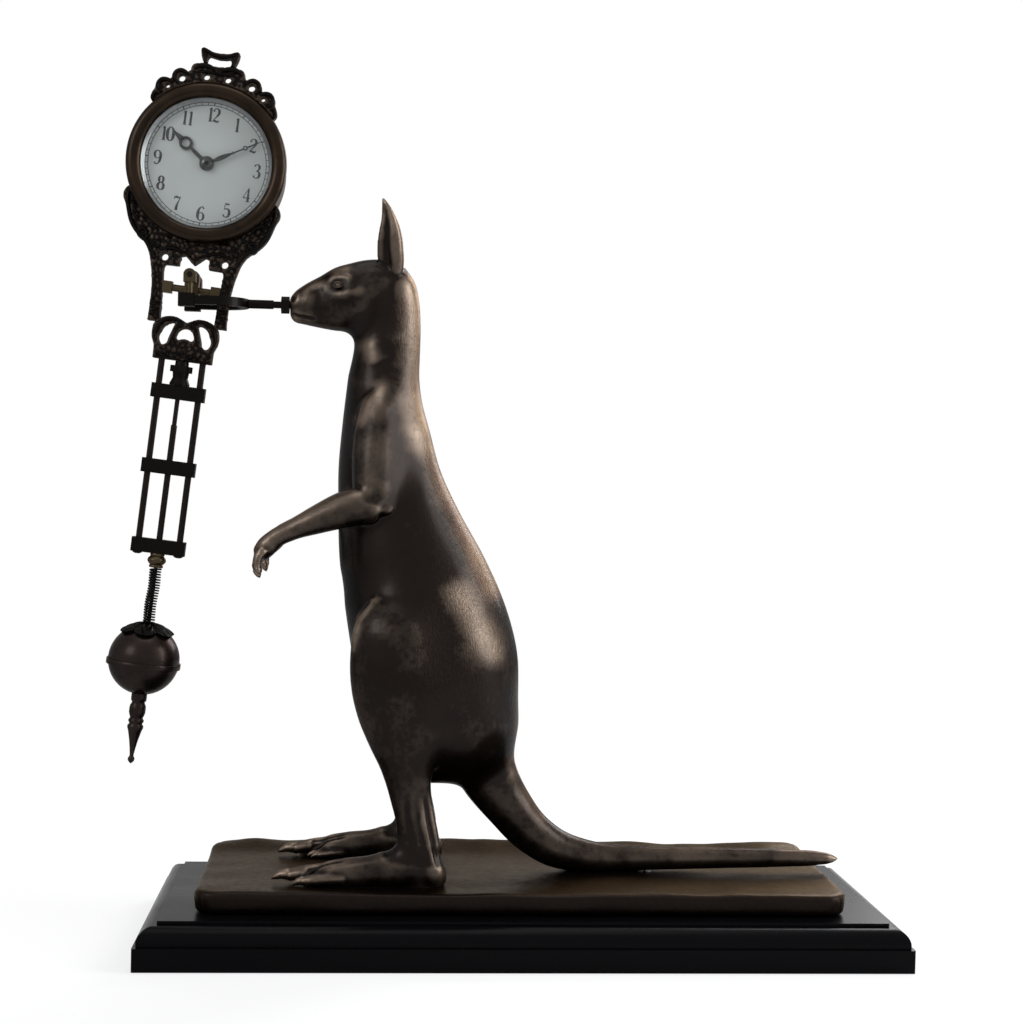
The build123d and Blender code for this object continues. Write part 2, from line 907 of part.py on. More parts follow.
def lyre_side(shares):
    """Points of the lyre, whose heights are shares of its reach above or below the pivot."""
    return [(x * lyre_half_width, z * (lyre_top if z > 0 else lyre_bottom)) for x, z in shares]


def make_lyre():
    """The cast frame: two arms that clasp the drum and two uprights round a window."""
    outer = lyre_side(lyre_outer_shares)
    window = lyre_side(lyre_window_shares)
    top_x, top_z = outer[0]
    floor_z = -lyre_bottom * lyre_floor_share
    foot_x = outer[-1][0]
    inner_x = window[-1][0]
    face = mirrored(
        [(0, top_z), (top_x, top_z)],
        outer,
        [(foot_x, -lyre_bottom), (inner_x, -lyre_bottom)],
        [(inner_x, -lyre_bottom), (inner_x, floor_z)],
        [(inner_x, floor_z), (0, floor_z)],
    )
    lyre = plate_y(face, -lyre_thickness / 2, lyre_thickness / 2)
    opening = mirrored(
        window[0:4],
        window[3:5],
        window[4:6],
        window[5:7],
        window[6:8],
        [window[7], (inner_x, -lyre_bottom - cut_over)],
        [(inner_x, -lyre_bottom - cut_over), (0, -lyre_bottom - cut_over)],
    )
    lyre -= plate_y(opening, -lyre_thickness, lyre_thickness)
    seat = rod_y(drum_radius + lyre_seat_gap, -lyre_thickness, lyre_thickness, 0, -drum_drop)
    above = block(-drum_radius, drum_radius, -lyre_thickness, lyre_thickness, -drum_drop, -drum_drop * 2)
    lyre -= seat + above
    hole_x = lyre_hole_share[0] * lyre_half_width
    hole_z = lyre_hole_share[1] * lyre_top
    for side in (-1, 1):
        lyre -= rod_y(lyre_hole_radius, -lyre_thickness, lyre_thickness, side * hole_x, hole_z)
    flat = window_half_width()
    seat_half = cross_nut_across / 2 + nut_seat_room
    lyre -= block(
        -flat, flat, -lyre_thickness, lyre_thickness, -cross_rod_drop - seat_half, -cross_rod_drop + seat_half
    )
    reach = flat + cross_nut_length
    lyre -= rod_x(cross_rod_radius + cross_rod_clearance, -reach, reach, 0, -cross_rod_drop)
    return lyre


def make_cross_rod():
    """The round rod across the window, let into both uprights."""
    reach = window_half_width() + cross_nut_length - head_clearance
    return rod_x(cross_rod_radius, -reach, reach, 0, -cross_rod_drop)


def make_cross_nuts():
    """Two square nuts on the cross rod, against the uprights."""
    nuts = []
    half = cross_nut_across / 2
    for side in (-1, 1):
        end = side * (window_half_width() - cross_nut_gap)
        start = end - side * cross_nut_length
        x_low, x_high = sorted((start, end))
        z_low = -cross_rod_drop - half
        nut = block(x_low, x_high, -half, half, z_low, z_low + cross_nut_across)
        bore = rod_x(
            cross_rod_radius + cross_rod_clearance, x_low - cut_over, x_high + cut_over, 0, -cross_rod_drop
        )
        nuts.append(nut - bore)
    return Compound(nuts)


def make_bracket():
    """The pierced scroll bracket under the lyre, with sockets for the outer rods."""
    outer = scaled(bracket_outer_shares, bracket_half_width, -bracket_bottom)
    arch = scaled(bracket_arch_shares, bracket_half_width, -bracket_bottom)
    shoulder_z = -lyre_bottom - bracket_gap
    foot_x = lyre_window_shares[-1][0] * lyre_half_width - bracket_gap
    start_x = outer[0][0]
    arch[0] = (foot_x, arch[0][1])
    face = mirrored(
        arch[::-1],
        [arch[0], (foot_x, shoulder_z)],
        [(foot_x, shoulder_z), (start_x, shoulder_z)],
        [(start_x, shoulder_z)] + outer[1:5],
        outer[4:6],
        [outer[5], (0, -bracket_bottom)],
    )
    half = bracket_thickness / 2
    bracket = plate_y(face, -half, half)
    side_hole = scaled(bracket_side_hole_shares, bracket_half_width, -bracket_bottom)
    for side in (-1, 1):
        points = [(side * x, z) for x, z in side_hole]
        hole = outline([*points, points[0]])
        bracket -= plate_y(hole, -bracket_thickness, bracket_thickness)
    middle = scaled(bracket_middle_hole_shares, bracket_half_width, -bracket_bottom)
    floor_z = -bracket_bottom * bracket_middle_floor_share
    hole = mirrored(middle, [middle[-1], (0, floor_z)])
    bracket -= plate_y(hole, -bracket_thickness, bracket_thickness)
    for side in (-1, 1):
        bracket -= rod_z(
            outer_rod_radius + grid_clearance,
            -bracket_bottom - cut_over,
            -bracket_bottom + bracket_socket_depth,
            side * outer_rod_spacing / 2,
        )
    return bracket


def make_bar(drop, middle_radius):
    """A cross bar of the grid, bored for the outer rods and the regulating rod."""
    bar = block(-bar_length / 2, bar_length / 2, -bar_depth / 2, bar_depth / 2, -drop - bar_height, -drop)
    low = -drop - bar_height - cut_over
    high = -drop + cut_over
    for side in (-1, 1):
        bar -= rod_z(outer_rod_radius + grid_clearance, low, high, side * outer_rod_spacing / 2)
    return bar - rod_z(middle_radius + rod_running_clearance, low, high)


def make_outer_rods():
    """Two rods from the scroll bracket through the three cross bars."""
    top = -bracket_bottom + bracket_socket_depth - head_clearance
    bottom = -bottom_bar_drop - bar_height
    rods = [rod_z(outer_rod_radius, bottom, top, side * outer_rod_spacing / 2) for side in (-1, 1)]
    return Compound(rods)


def make_cap_nuts():
    """Two low round nuts on the lower ends of the outer rods."""
    top = -bottom_bar_drop - bar_height
    points = ((0, top), (cap_nut_radius, top), (cap_nut_radius, top - cap_nut_height / 2))
    nut = turned_z([*points, (cap_nut_radius / 2, top - cap_nut_height), (0, top - cap_nut_height)])
    return Compound([Pos(side * outer_rod_spacing / 2, 0, 0) * nut for side in (-1, 1)])


def make_rating_nut():
    """The knurled nut that raises and lowers the ball."""
    top = -bracket_bottom - rating_nut_end_gap
    length = top_bar_drop - bracket_bottom - rating_nut_end_gap * 2
    points = [(r * rating_nut_wheel_radius, top - share * length) for r, share in rating_nut_shares]
    nut = turned_z(points)
    wheel_top, wheel_bottom = [top - share * length for share in rating_wheel_shares]
    wheel = extrude(
        Pos(0, 0, wheel_bottom) * ribbed(rating_nut_wheel_radius, rating_nut_ribs, rating_nut_rib_depth),
        wheel_top - wheel_bottom,
    )
    nut += wheel
    return nut - rod_z(rod_thin_radius + rod_running_clearance, top - length - cut_over, top + cut_over)


def ribbed(radius, ribs, depth):
    """A round face with straight ribs round its edge."""
    points = []
    for i in range(ribs * 2):
        reach = radius if i % 2 else radius - depth
        angle = pi * i / ribs
        points.append((reach * cos(angle), reach * sin(angle)))
    return make_face(Polyline(*points, close=True))


def make_regulating_rod():
    """The rod from the rating nut down through the bars, the spring and the ball."""
    ball_bottom = ball_centre() - ball_flat_height()
    rod = rod_z(rod_thin_radius, -rod_step_drop, -rod_top_drop)
    rod += rod_z(rod_thick_radius, -rod_lower_step_drop, -rod_step_drop)
    return rod + rod_z(rod_spring_radius, ball_bottom - rod_end_in_finial, -rod_lower_step_drop)


def spring_top():
    """Where the spring meets the ferrule."""
    return -bottom_bar_drop - bar_height - ferrule_height


def spring_bottom():
    """Where the spring meets the leaf cap."""
    return spring_top() - spring_length - spring_end_gap * 2


def make_ferrule():
    """The brass bead under the bottom bar."""
    top = -bottom_bar_drop - bar_height
    points = [(r * ferrule_radius, top - share * ferrule_height) for r, share in ferrule_shares]
    bore = rod_z(rod_spring_radius + rod_running_clearance, top - ferrule_height - cut_over, top + cut_over)
    return turned_z(points) - bore


def spring_point(turn):
    """A place on the spring's centre line, after so many turns from its top."""
    coil_radius = spring_outer_radius - spring_wire / 2
    run = spring_length - spring_wire
    share = turn / spring_turns
    sway = spring_sway * sin(2 * pi * share) * sin(pi * share)
    angle = 2 * pi * turn
    height = spring_top() - spring_end_gap - spring_wire / 2 - run * share
    return Vector(coil_radius * cos(angle) + sway, coil_radius * sin(angle), height)


def spring_heading(turn):
    """The direction of the spring's centre line there."""
    step = 1 / 1000
    return (spring_point(turn + step) - spring_point(turn - step)).normalized()


def biarc(start, start_heading, end, end_heading):
    """Two arcs that leave and arrive in the given directions and meet smoothly."""
    across = end - start
    both = start_heading + end_heading
    spread = 2 * (1 - start_heading.dot(end_heading))
    reach = (sqrt(across.dot(both) ** 2 + spread * across.dot(across)) - across.dot(both)) / spread
    middle = (start + start_heading * reach + end - end_heading * reach) * 0.5
    first = TangentArc(start, middle, tangent=start_heading)
    return [first, TangentArc(middle, end, tangent=first % 1)]


def make_spring():
    """The coil spring: one unbroken wire on arcs, half a turn to each pair."""
    arcs = []
    for i in range(spring_turns * 2):
        start, end = i / 2, (i + 1) / 2
        arcs += biarc(spring_point(start), spring_heading(start), spring_point(end), spring_heading(end))
    path = Wire(arcs)
    spring_wire_side = spring_wire * spring_wire_side_share
    section = Plane(origin=path @ 0, z_dir=path % 0) * Rectangle(spring_wire_side, spring_wire_side)
    samples = [spring_point(i / 16) for i in range(spring_turns * 16 + 1)]
    gaps = []
    for i, place in enumerate(samples):
        gaps += [(place - other).length - spring_wire for other in samples[i + 8 :]]
    print("spring: least gap to itself", round(min(gaps), 3), "mm")
    return sweep(section, path)


def ball_flat_height():
    """Height of the small flats at the ball's poles, from its centre."""
    return sqrt(ball_radius**2 - ball_flat_radius**2)


def ball_centre():
    """The height of the ball's centre, under the pivot."""
    return spring_bottom() - leaf_cap_thickness - ball_flat_height()


def ball_angles():
    """Latitudes of the upper half's bands, from the lip to the flat at the pole."""
    lip_angle = asin((ball_lip_half_height - ball_lip_drop) / ball_radius)
    pole_angle = acos(ball_flat_radius / ball_radius)
    return [lip_angle + (pole_angle - lip_angle) * i / ball_bands for i in range(ball_bands + 1)]


def ball_points(radius, angles):
    """Points of radius and height on a ball, at the given latitudes."""
    return [(radius * cos(a), ball_centre() + radius * sin(a)) for a in angles]


def make_ball_half(upper):
    """One half of the ball; the upper one carries the lip that covers the joint."""
    joint = ball_centre() - ball_lip_drop
    lip_inner = ball_radius + ball_lip_gap
    if upper:
        points = ball_points(ball_radius, ball_angles())
        points += [(0, points[-1][1]), (0, joint), (lip_inner, joint), (lip_inner, joint - ball_lip_half_height)]
        points += [(ball_lip_radius, joint - ball_lip_half_height / 2)]
        points += [(ball_lip_radius, joint + ball_lip_half_height)]
    else:
        joint_angle = -asin(ball_lip_drop / ball_radius)
        pole_angle = ball_angles()[-1]
        step = (pole_angle + joint_angle) / ball_bands
        points = ball_points(ball_radius, [step * i - pole_angle for i in range(ball_bands + 1)])
        points += [(0, joint), (0, points[0][1])]
    height = ball_flat_height() + cut_over
    bore = rod_z(rod_spring_radius + ball_bore_clearance, ball_centre() - height, ball_centre() + height)
    return turned_z(points) - bore


def make_leaf_cap():
    """The leaf rosette that lies on top of the ball."""
    covered = ball_angles()[-3:]
    inner = ball_points(ball_radius + leaf_cap_gap, covered)
    outer = ball_points(ball_radius + leaf_cap_thickness, covered)
    top = ball_centre() + ball_flat_height()
    cap_top = spring_bottom()
    shell = turned_z([*outer, (0, cap_top), (0, inner[-1][1]), *inner[::-1]])
    points = []
    for i in range(leaf_cap_lobes * 2):
        reach = leaf_cap_reach if i % 2 else leaf_cap_reach - leaf_cap_lobe_depth
        angle = pi * i / leaf_cap_lobes
        points.append((reach * cos(angle), reach * sin(angle)))
    lobes = extrude(Pos(0, 0, ball_centre()) * make_face(Polyline(*points, close=True)), ball_radius + cut_over)
    bore = rod_z(rod_spring_radius + ball_bore_clearance, ball_centre(), top + cut_over + leaf_cap_thickness)
    return (shell & lobes) - bore


def make_finial():
    """The turned drop under the ball, screwed on the end of the regulating rod."""
    top = ball_centre() - ball_flat_height()
    points = [(r * finial_radius, top - share * finial_length) for r, share in finial_shares]
    depth = rod_end_in_finial + head_clearance
    socket = rod_z(rod_spring_radius + ball_bore_clearance, top - depth, top + cut_over)
    return turned_z(points) - socket


def make_drum_case():
    """The drum: a tube with an inner ledge for the dial and the movement."""
    inner = drum_radius - drum_wall
    case = rod_y(drum_radius, drum_front, drum_back) - rod_y(inner, drum_front - cut_over, drum_back + cut_over)
    ledge = rod_y(inner, drum_ledge_front, drum_ledge_back)
    ledge -= rod_y(drum_ledge_inner_radius, drum_ledge_front - cut_over, drum_ledge_back + cut_over)
    return case + ledge


def barrel_place():
    """Centre of the mainspring barrel, from the drum's centre."""
    reach = (barrel_teeth + centre_pinion_teeth) * barrel_module / 2
    return polar(reach, barrel_angle)


def third_place():
    """Centre of the third wheel."""
    reach = (centre_wheel_teeth + third_pinion_teeth) * centre_module / 2
    return polar(reach, third_angle)


def escape_place():
    """Centre of the escape wheel, straight above the drum's centre."""
    third_x, third_z = third_place()
    reach = (third_wheel_teeth + escape_pinion_teeth) * third_module / 2
    return 0, third_z + sqrt(reach**2 - third_x**2)


def minute_wheel_place():
    """Centre of the minute wheel, beside the cannon pinion."""
    reach = (cannon_teeth + minute_wheel_teeth) * motion_module / 2
    return polar(reach, minute_wheel_angle)


def anchor_place():
    """The anchor's arbor, above the escape wheel."""
    x, z = escape_place()
    return x, z + anchor_rise


def polar(radius, angle):
    """X and Z of a place at an angle from +X."""
    return radius * cos(radians(angle)), radius * sin(radians(angle))


def heading(start, end):
    """The angle from +X of the line between two places."""
    return degrees(atan2(end[1] - start[1], end[0] - start[0]))


def gear(teeth, module, first_tooth, front, width, place=(0, 0)):
    """A spur gear with straight-sided teeth and pointed gaps, one tooth at the angle first_tooth."""
    pitch_radius = teeth * module / 2
    tip = pitch_radius + addendum_share * module
    root = pitch_radius - dedendum_share * module
    corners = ((-tooth_tip_share, tip), (tooth_tip_share, tip), (1 / 2, root))
    points = []
    for i in range(teeth):
        points += [polar(radius, first_tooth + 360 * (i + share) / teeth) for share, radius in corners]
    face = make_face(Polyline(*points, close=True))
    return Pos(place[0], 0, place[1]) * plate_y(face, front, front + width)


def gap_towards(angle, teeth):
    """Where the first tooth goes so that a gap lies at the given angle."""
    return angle + 180 / teeth


def make_back_cover():
    """The snap-in back, with a hole for the key and one for the setting knob."""
    lip_radius = drum_radius - drum_wall - back_cover_gap
    cover = rod_y(drum_radius, drum_back, drum_back + back_cover_thickness)
    cover += rod_y(lip_radius, drum_back - back_cover_lip, drum_back)
    far = drum_back + back_cover_thickness + cut_over
    near = drum_back - back_cover_lip - cut_over
    cover -= rod_y(setting_hole_radius, near, far)
    barrel_x, barrel_z = barrel_place()
    return cover - rod_y(winding_hole_radius, near, far, barrel_x, barrel_z)


def make_bezel():
    """The bronze bezel: a half-round ring with a lip over the glass and a skirt over the drum."""
    skirt_inner = drum_radius + bezel_fit
    crown = (bezel_radius + bezel_opening_radius) / 2
    shoulder = bezel_front + (bezel_radius - bezel_opening_radius) / 2
    pocket_front = glass_edge_front - bezel_fit
    pocket_back = drum_front - bezel_fit
    half = (bezel_radius - bezel_opening_radius) / 2
    angles = [pi * i / bezel_bands for i in range(bezel_bands + 1)]
    points = [(crown - half * cos(a), shoulder - half * sin(a)) for a in angles]
    points += [(bezel_radius, bezel_skirt_back), (skirt_inner, bezel_skirt_back), (skirt_inner, pocket_back)]
    points += [(bezel_pocket_radius, pocket_back), (bezel_pocket_radius, pocket_front)]
    points.append((bezel_opening_radius, pocket_front))
    return turned_y(make_face(Polyline(*points, close=True)))


def dome_points(depth):
    """Points of the glass from its middle, over the dome, to its flat rim at the given depth."""
    reach = bezel_opening_radius - glass_rim_gap
    sphere_radius = (reach**2 + glass_rise**2) / (2 * glass_rise)
    radii = [reach * i / glass_bands for i in range(glass_bands + 1)]
    dome = [(r, depth - glass_rise + sphere_radius - sqrt(sphere_radius**2 - r**2)) for r in radii]
    return [*dome, (glass_radius, depth)]


def make_glass():
    """The domed glass."""
    front = dome_points(glass_edge_front)
    back = [(r, y + glass_thickness) for r, y in front]
    return turned_y(make_face(Polyline(*back, *front[::-1], close=True)))


def make_ring():
    """The silvered ring that slopes in from the glass to the dial."""
    face = make_face(
        Polyline(
            (ring_outer_radius, ring_front),
            (bezel_opening_radius, ring_front),
            (ring_inner_radius, ring_back),
            (ring_outer_radius, ring_back),
            close=True,
        )
    )
    return turned_y(face)


def make_dial():
    """The dial plate, on the drum's ledge."""
    back = drum_ledge_front - dial_gap
    dial = rod_y(dial_radius, back - dial_thickness, back)
    return dial - rod_y(dial_bore_radius, back - dial_thickness - cut_over, back + cut_over)


def hand_outline(shares, length):
    """A hand's face, pointing along +X from its hub."""
    upper = [(along * length, across * length) for along, across in shares]
    lower = [(x, -z) for x, z in upper[::-1]]
    return make_face(Polyline(*upper, *lower, close=True))


def make_hour_hand():
    """The hour hand with its open spade, fixed on the hour wheel's pipe."""
    hand = plate_y(hand_outline(hour_hand_shares, hour_hand_length), hour_hand_front, hour_hand_front + hand_thickness)
    upper = scaled(hour_hand_hole_shares, hour_hand_length, hour_hand_length)
    hole = make_face(Polyline(*upper, *[(x, -z) for x, z in upper[::-1]], close=True))
    hand -= plate_y(hole, hour_hand_front - cut_over, hour_hand_front + cut_over)
    hand += rod_y(hour_hand_hub_radius, hour_hand_front, hour_hand_front + hand_thickness)
    hand = Rot(0, hour_hand_angle - right_angle, 0) * hand
    return hand - rod_y(hour_pipe_radius + screw_clearance, hour_hand_front - cut_over, hour_hand_front + cut_over)


def make_minute_hand():
    """The minute hand with its round hub and small ring, fixed on the cannon pinion's arbor."""
    hand = plate_y(
        hand_outline(minute_hand_shares, minute_hand_length), minute_hand_front, minute_hand_front + hand_thickness
    )
    hole_x, hole_radius = [share * minute_hand_length for share in minute_hand_hole_share]
    hand -= rod_y(hole_radius, minute_hand_front - cut_over, minute_hand_front + cut_over, hole_x)
    hand += rod_y(minute_hand_hub_radius, minute_hand_front, minute_hand_front + hand_thickness)
    hand = Rot(0, minute_hand_angle - right_angle, 0) * hand
    return hand - rod_y(
        centre_arbor_radius + screw_clearance, minute_hand_front - cut_over, minute_hand_front + cut_over
    )


def make_hand_nut():
    """The domed nut that holds the hands."""
    front = minute_hand_front - hand_nut_height
    inner = centre_arbor_radius + screw_clearance
    points = (
        (inner, minute_hand_front),
        (hand_nut_radius, minute_hand_front),
        (hand_nut_radius, minute_hand_front - hand_nut_height / 2),
        (hand_nut_radius / 2, front),
        (inner, front),
    )
    return turned_y(make_face(Polyline(*points, close=True)))


def arbor_front():
    """The front end of the centre arbor, inside the hand nut."""
    return minute_hand_front - hand_nut_height / 2


def make_crest():
    """The pierced crest with its loop, standing on the drum behind the bezel."""
    points = scaled(crest_outer_shares, crest_half_width, crest_height)
    end_x, end_z = points[-1]
    seat = drum_radius + crest_fit
    face = mirrored(
        points[0:4],
        points[3:6],
        [points[5], points[6]],
        points[6:10],
        points[9:14],
        points[13:20],
        [(end_x, end_z), (0, end_z)],
    )
    crest = plate_y(face, crest_front, crest_back)
    crest -= rod_y(seat, drum_front - bezel_fit * 2, crest_back + cut_over)
    crest -= rod_y(bezel_radius + crest_fit, crest_front - cut_over, bezel_skirt_back + bezel_fit)
    loop = scaled(crest_loop_hole_shares, crest_half_width, crest_height)
    crest -= plate_y(mirrored(loop[0:2], loop[1:4], loop[3:5]), crest_front - cut_over, crest_back + cut_over)
    for x, z, radius in crest_hole_shares:
        for side in (-1, 1):
            crest -= rod_y(
                radius * crest_half_width,
                crest_front - cut_over,
                crest_back + cut_over,
                side * x * crest_half_width,
                z * crest_height,
            )
    return crest


def pivots():
    """Places of the arbors that run between the plates."""
    return [barrel_place(), third_place(), escape_place(), anchor_place()]


def make_front_plate():
    """The movement's front plate, on the back of the drum's ledge."""
    radius = drum_radius - drum_wall - plate_gap
    back = front_plate_front + plate_thickness
    plate = plate_y(RegularPolygon(radius, plate_sides), front_plate_front, back)
    holes = pivots() + [(0, 0)]
    for x, z in holes:
        hole = arbor_radius if (x, z) != (0, 0) else centre_arbor_radius
        plate -= rod_y(hole + arbor_clearance, front_plate_front - cut_over, back + cut_over, x, z)
    return plate


def make_back_plate():
    """The back plate, with the holes that the barrel, centre and anchor arbors pass through."""
    back = back_plate_front + plate_thickness
    plate = plate_y(RegularPolygon(back_plate_radius, plate_sides), back_plate_front, back)
    sizes = [winding_arbor_radius, arbor_radius, arbor_radius, arbor_radius, centre_arbor_radius]
    for (x, z), radius in zip(pivots() + [(0, 0)], sizes):
        plate -= rod_y(radius + arbor_clearance, back_plate_front - cut_over, back + cut_over, x, z)
    return plate


def make_pillars():
    """Four pillars that hold the plates apart."""
    front = front_plate_front + plate_thickness
    places = [polar(pillar_circle_radius, angle) for angle in pillar_angles]
    return Compound([rod_y(pillar_radius, front, back_plate_front, x, z) for x, z in places])


def make_barrel():
    """The mainspring barrel: a toothed rim and a closed drum."""
    x, z = barrel_place()
    towards = heading((x, z), (0, 0))
    rim = gear(barrel_teeth, barrel_module, gap_towards(towards, barrel_teeth), barrel_front, gear_width, (x, z))
    root = barrel_teeth * barrel_module / 2 - dedendum_share * barrel_module
    drum = rod_y(root, barrel_front + gear_width, barrel_front + barrel_depth, x, z)
    bore = winding_arbor_radius + arbor_clearance
    barrel = rim + drum
    barrel -= rod_y(bore, barrel_front - cut_over, barrel_front + barrel_depth + cut_over, x, z)
    return barrel


def make_winding_arbor():
    """The arbor that winds the mainspring, out through the back cover."""
    x, z = barrel_place()
    key_back = drum_back + back_cover_thickness + key_gap + key_hub_length
    arbor = rod_y(winding_arbor_radius, front_plate_front + plate_thickness + arbor_end_gap, key_back, x, z)
    return arbor + rod_y(arbor_radius, front_plate_front, front_plate_front + plate_thickness * 2, x, z)


def make_winding_key():
    """The two-winged key on the winding arbor."""
    x, z = barrel_place()
    front = drum_back + back_cover_thickness + key_gap
    back = front + key_hub_length
    key = rod_y(key_hub_radius, front, back, x, z)
    half = key_wing_span / 2
    thick = key_wing_thickness / 2
    wings = block(x - half, x + half, back, back + key_wing_length, z - thick, z + thick)
    wings = fillet(wings.edges().filter_by(Axis.Z), key_wing_length / 3)
    web = block(x - key_hub_radius, x + key_hub_radius, back - thick, back + thick, z - thick, z + thick)
    key += web + wings
    return key - rod_y(winding_arbor_radius + screw_clearance, front - cut_over, back, x, z)


def make_centre_arbor():
    """The centre arbor with its pinion, the centre wheel and the cannon pinion."""
    knob_back = drum_back + back_cover_thickness + key_gap + setting_knob_length
    arbor = rod_y(centre_arbor_radius, arbor_front(), knob_back)
    towards_barrel = heading((0, 0), barrel_place())
    arbor += gear(centre_pinion_teeth, barrel_module, towards_barrel, barrel_front - arbor_end_gap, pinion_width)
    towards_third = heading((0, 0), third_place())
    arbor += gear(centre_wheel_teeth, centre_module, towards_third, centre_wheel_front, gear_width)
    return arbor + gear(cannon_teeth, motion_module, minute_wheel_angle, cannon_front, gear_width)


def make_setting_knob():
    """The knurled knob behind the back cover that sets the hands."""
    front = drum_back + back_cover_thickness + key_gap
    knob = plate_y(ribbed(setting_knob_radius, setting_knob_ribs, knurl_depth), front, front + setting_knob_length)
    return knob - rod_y(centre_arbor_radius + screw_clearance, front - cut_over, front + setting_knob_length + cut_over)


def make_third_wheel():
    """The third wheel with its pinion and arbor."""
    place = third_place()
    back_end = back_plate_front + plate_thickness
    wheel = rod_y(arbor_radius, front_plate_front, back_end, *place)
    to_centre = heading(place, (0, 0))
    to_escape = heading(place, escape_place())
    pinion_front = centre_wheel_front - (pinion_width - gear_width) / 2
    wheel += gear(
        third_pinion_teeth, centre_module, gap_towards(to_centre, third_pinion_teeth), pinion_front, pinion_width, place
    )
    return wheel + gear(third_wheel_teeth, third_module, to_escape, third_wheel_front, gear_width, place)


def make_escape_wheel():
    """The escape wheel with pointed teeth, its pinion and arbor."""
    place = escape_place()
    back_end = back_plate_front + plate_thickness
    wheel = rod_y(arbor_radius, front_plate_front, back_end, *place)
    to_third = heading(place, third_place())
    pinion_front = third_wheel_front - (pinion_width - gear_width) / 2
    wheel += gear(
        escape_pinion_teeth, third_module, gap_towards(to_third, escape_pinion_teeth), pinion_front, pinion_width, place
    )
    points = []
    for i in range(escape_teeth):
        points.append(polar(escape_root_radius, 360 * i / escape_teeth))
        points.append(polar(escape_radius, 360 * i / escape_teeth))
    star = make_face(Polyline(*points, close=True))
    return wheel + Pos(place[0], 0, place[1]) * plate_y(star, escape_front, escape_front + gear_width)


def make_anchor():
    """The anchor: an arched yoke with two pallets, on an arbor through the back plate."""
    x, z = anchor_place()
    half = anchor_arm_width / 2
    middle_z = -anchor_drop * (1 - anchor_arm_middle_share)
    tip_z = -anchor_drop
    face = mirrored(
        [(0, half), (anchor_reach * anchor_arm_middle_share, middle_z + half), (anchor_reach + half, tip_z)],
        [(anchor_reach + half, tip_z), (anchor_reach - half, tip_z)],
        [(anchor_reach - half, tip_z), (anchor_reach * anchor_arm_middle_share, middle_z - half), (0, -half)],
    )
    anchor = plate_y(face, escape_front, escape_front + gear_width)
    anchor += rod_y(half + arbor_radius, escape_front, escape_front + gear_width)
    end = pendulum_front + hand_thickness * 2
    anchor += rod_y(arbor_radius, front_plate_front, end)
    return Pos(x, 0, z) * anchor


def make_pendulum():
    """The short pendulum inside the drum, on the anchor's arbor."""
    x, z = anchor_place()
    rod = block(
        -pendulum_rod_width / 2,
        pendulum_rod_width / 2,
        pendulum_front,
        pendulum_front + hand_thickness * 2,
        -pendulum_length,
        0,
    )
    rod += rod_y(arbor_radius * 2, pendulum_front, pendulum_front + hand_thickness * 2)
    rod -= rod_y(arbor_radius + screw_clearance, pendulum_front - cut_over, pendulum_front + cut_over * 2)
    bob = rod_y(pendulum_bob_radius, pendulum_front, pendulum_front + pendulum_bob_thickness, 0, -pendulum_length)
    return Pos(x, 0, z) * (rod + bob)


def make_minute_wheel():
    """The minute wheel and its pinion, on a post of the front plate."""
    place = minute_wheel_place()
    towards = heading(place, (0, 0))
    wheel = gear(
        minute_wheel_teeth, motion_module, gap_towards(towards, minute_wheel_teeth), cannon_front, gear_width, place
    )
    pinion_module = pinion_of_hour_wheel()
    wheel += gear(minute_pinion_teeth, pinion_module, towards, hour_wheel_front, cannon_front - hour_wheel_front, place)
    return wheel - rod_y(arbor_radius + arbor_clearance, hour_wheel_front - cut_over, 0, *place)


def pinion_of_hour_wheel():
    """Module of the hour wheel and the pinion that drives it, on the same centres."""
    return (cannon_teeth + minute_wheel_teeth) * motion_module / (minute_pinion_teeth + hour_wheel_teeth)


def make_minute_post():
    """The post on the front plate that the minute wheel turns on."""
    return rod_y(arbor_radius, hour_wheel_front, front_plate_front, *minute_wheel_place())


def make_hour_wheel():
    """The hour wheel, whose pipe goes through the dial to the hour hand."""
    towards = minute_wheel_angle
    wheel = gear(
        hour_wheel_teeth, pinion_of_hour_wheel(), gap_towards(towards, hour_wheel_teeth), hour_wheel_front, gear_width
    )
    wheel += rod_y(hour_pipe_radius, hour_hand_front, hour_wheel_front)
    return wheel - rod_y(hour_pipe_bore, hour_hand_front - cut_over, hour_wheel_front + gear_width + cut_over)


os.makedirs("parts", exist_ok=True)

# Standing pieces
save(make_base(), "wooden_base")
save(make_felt(), "felt_underlay")
save(make_plinth(), "bronze_plinth")
save(make_wood_screws(), "plinth_screws")
save(make_figure(), "kangaroo_figure")
save(make_figure_screws(), "figure_screws")
save(make_fork(), "suspension_fork")
save(make_lock_nut(), "fork_lock_nut")
save(make_post(-1), "bearing_post_front")
save(make_post(1), "bearing_post_rear")

# Frame of the hanging clock
hanging = {
    "pivot_pin": make_pivot_pin(),
    "hanger_block": make_hanger(),
    "cross_rod": make_cross_rod(),
    "cross_rod_nuts": make_cross_nuts(),
    "lyre_frame": make_lyre(),
    "scroll_bracket": make_bracket(),
    "top_crossbar": make_bar(top_bar_drop, rod_thin_radius),
    "middle_crossbar": make_bar(middle_bar_drop, rod_thick_radius),
    "bottom_crossbar": make_bar(bottom_bar_drop, rod_thick_radius),
    "outer_rods": make_outer_rods(),
    "rod_cap_nuts": make_cap_nuts(),
    "rating_nut": make_rating_nut(),
    "regulating_rod": make_regulating_rod(),
    "spring_ferrule": make_ferrule(),
    "coil_spring": make_spring(),
    "leaf_cap": make_leaf_cap(),
    "ball_upper_half": make_ball_half(True),
    "ball_lower_half": make_ball_half(False),
    "finial": make_finial(),
}
for name, shape in hanging.items():
    save(hang(shape), name)

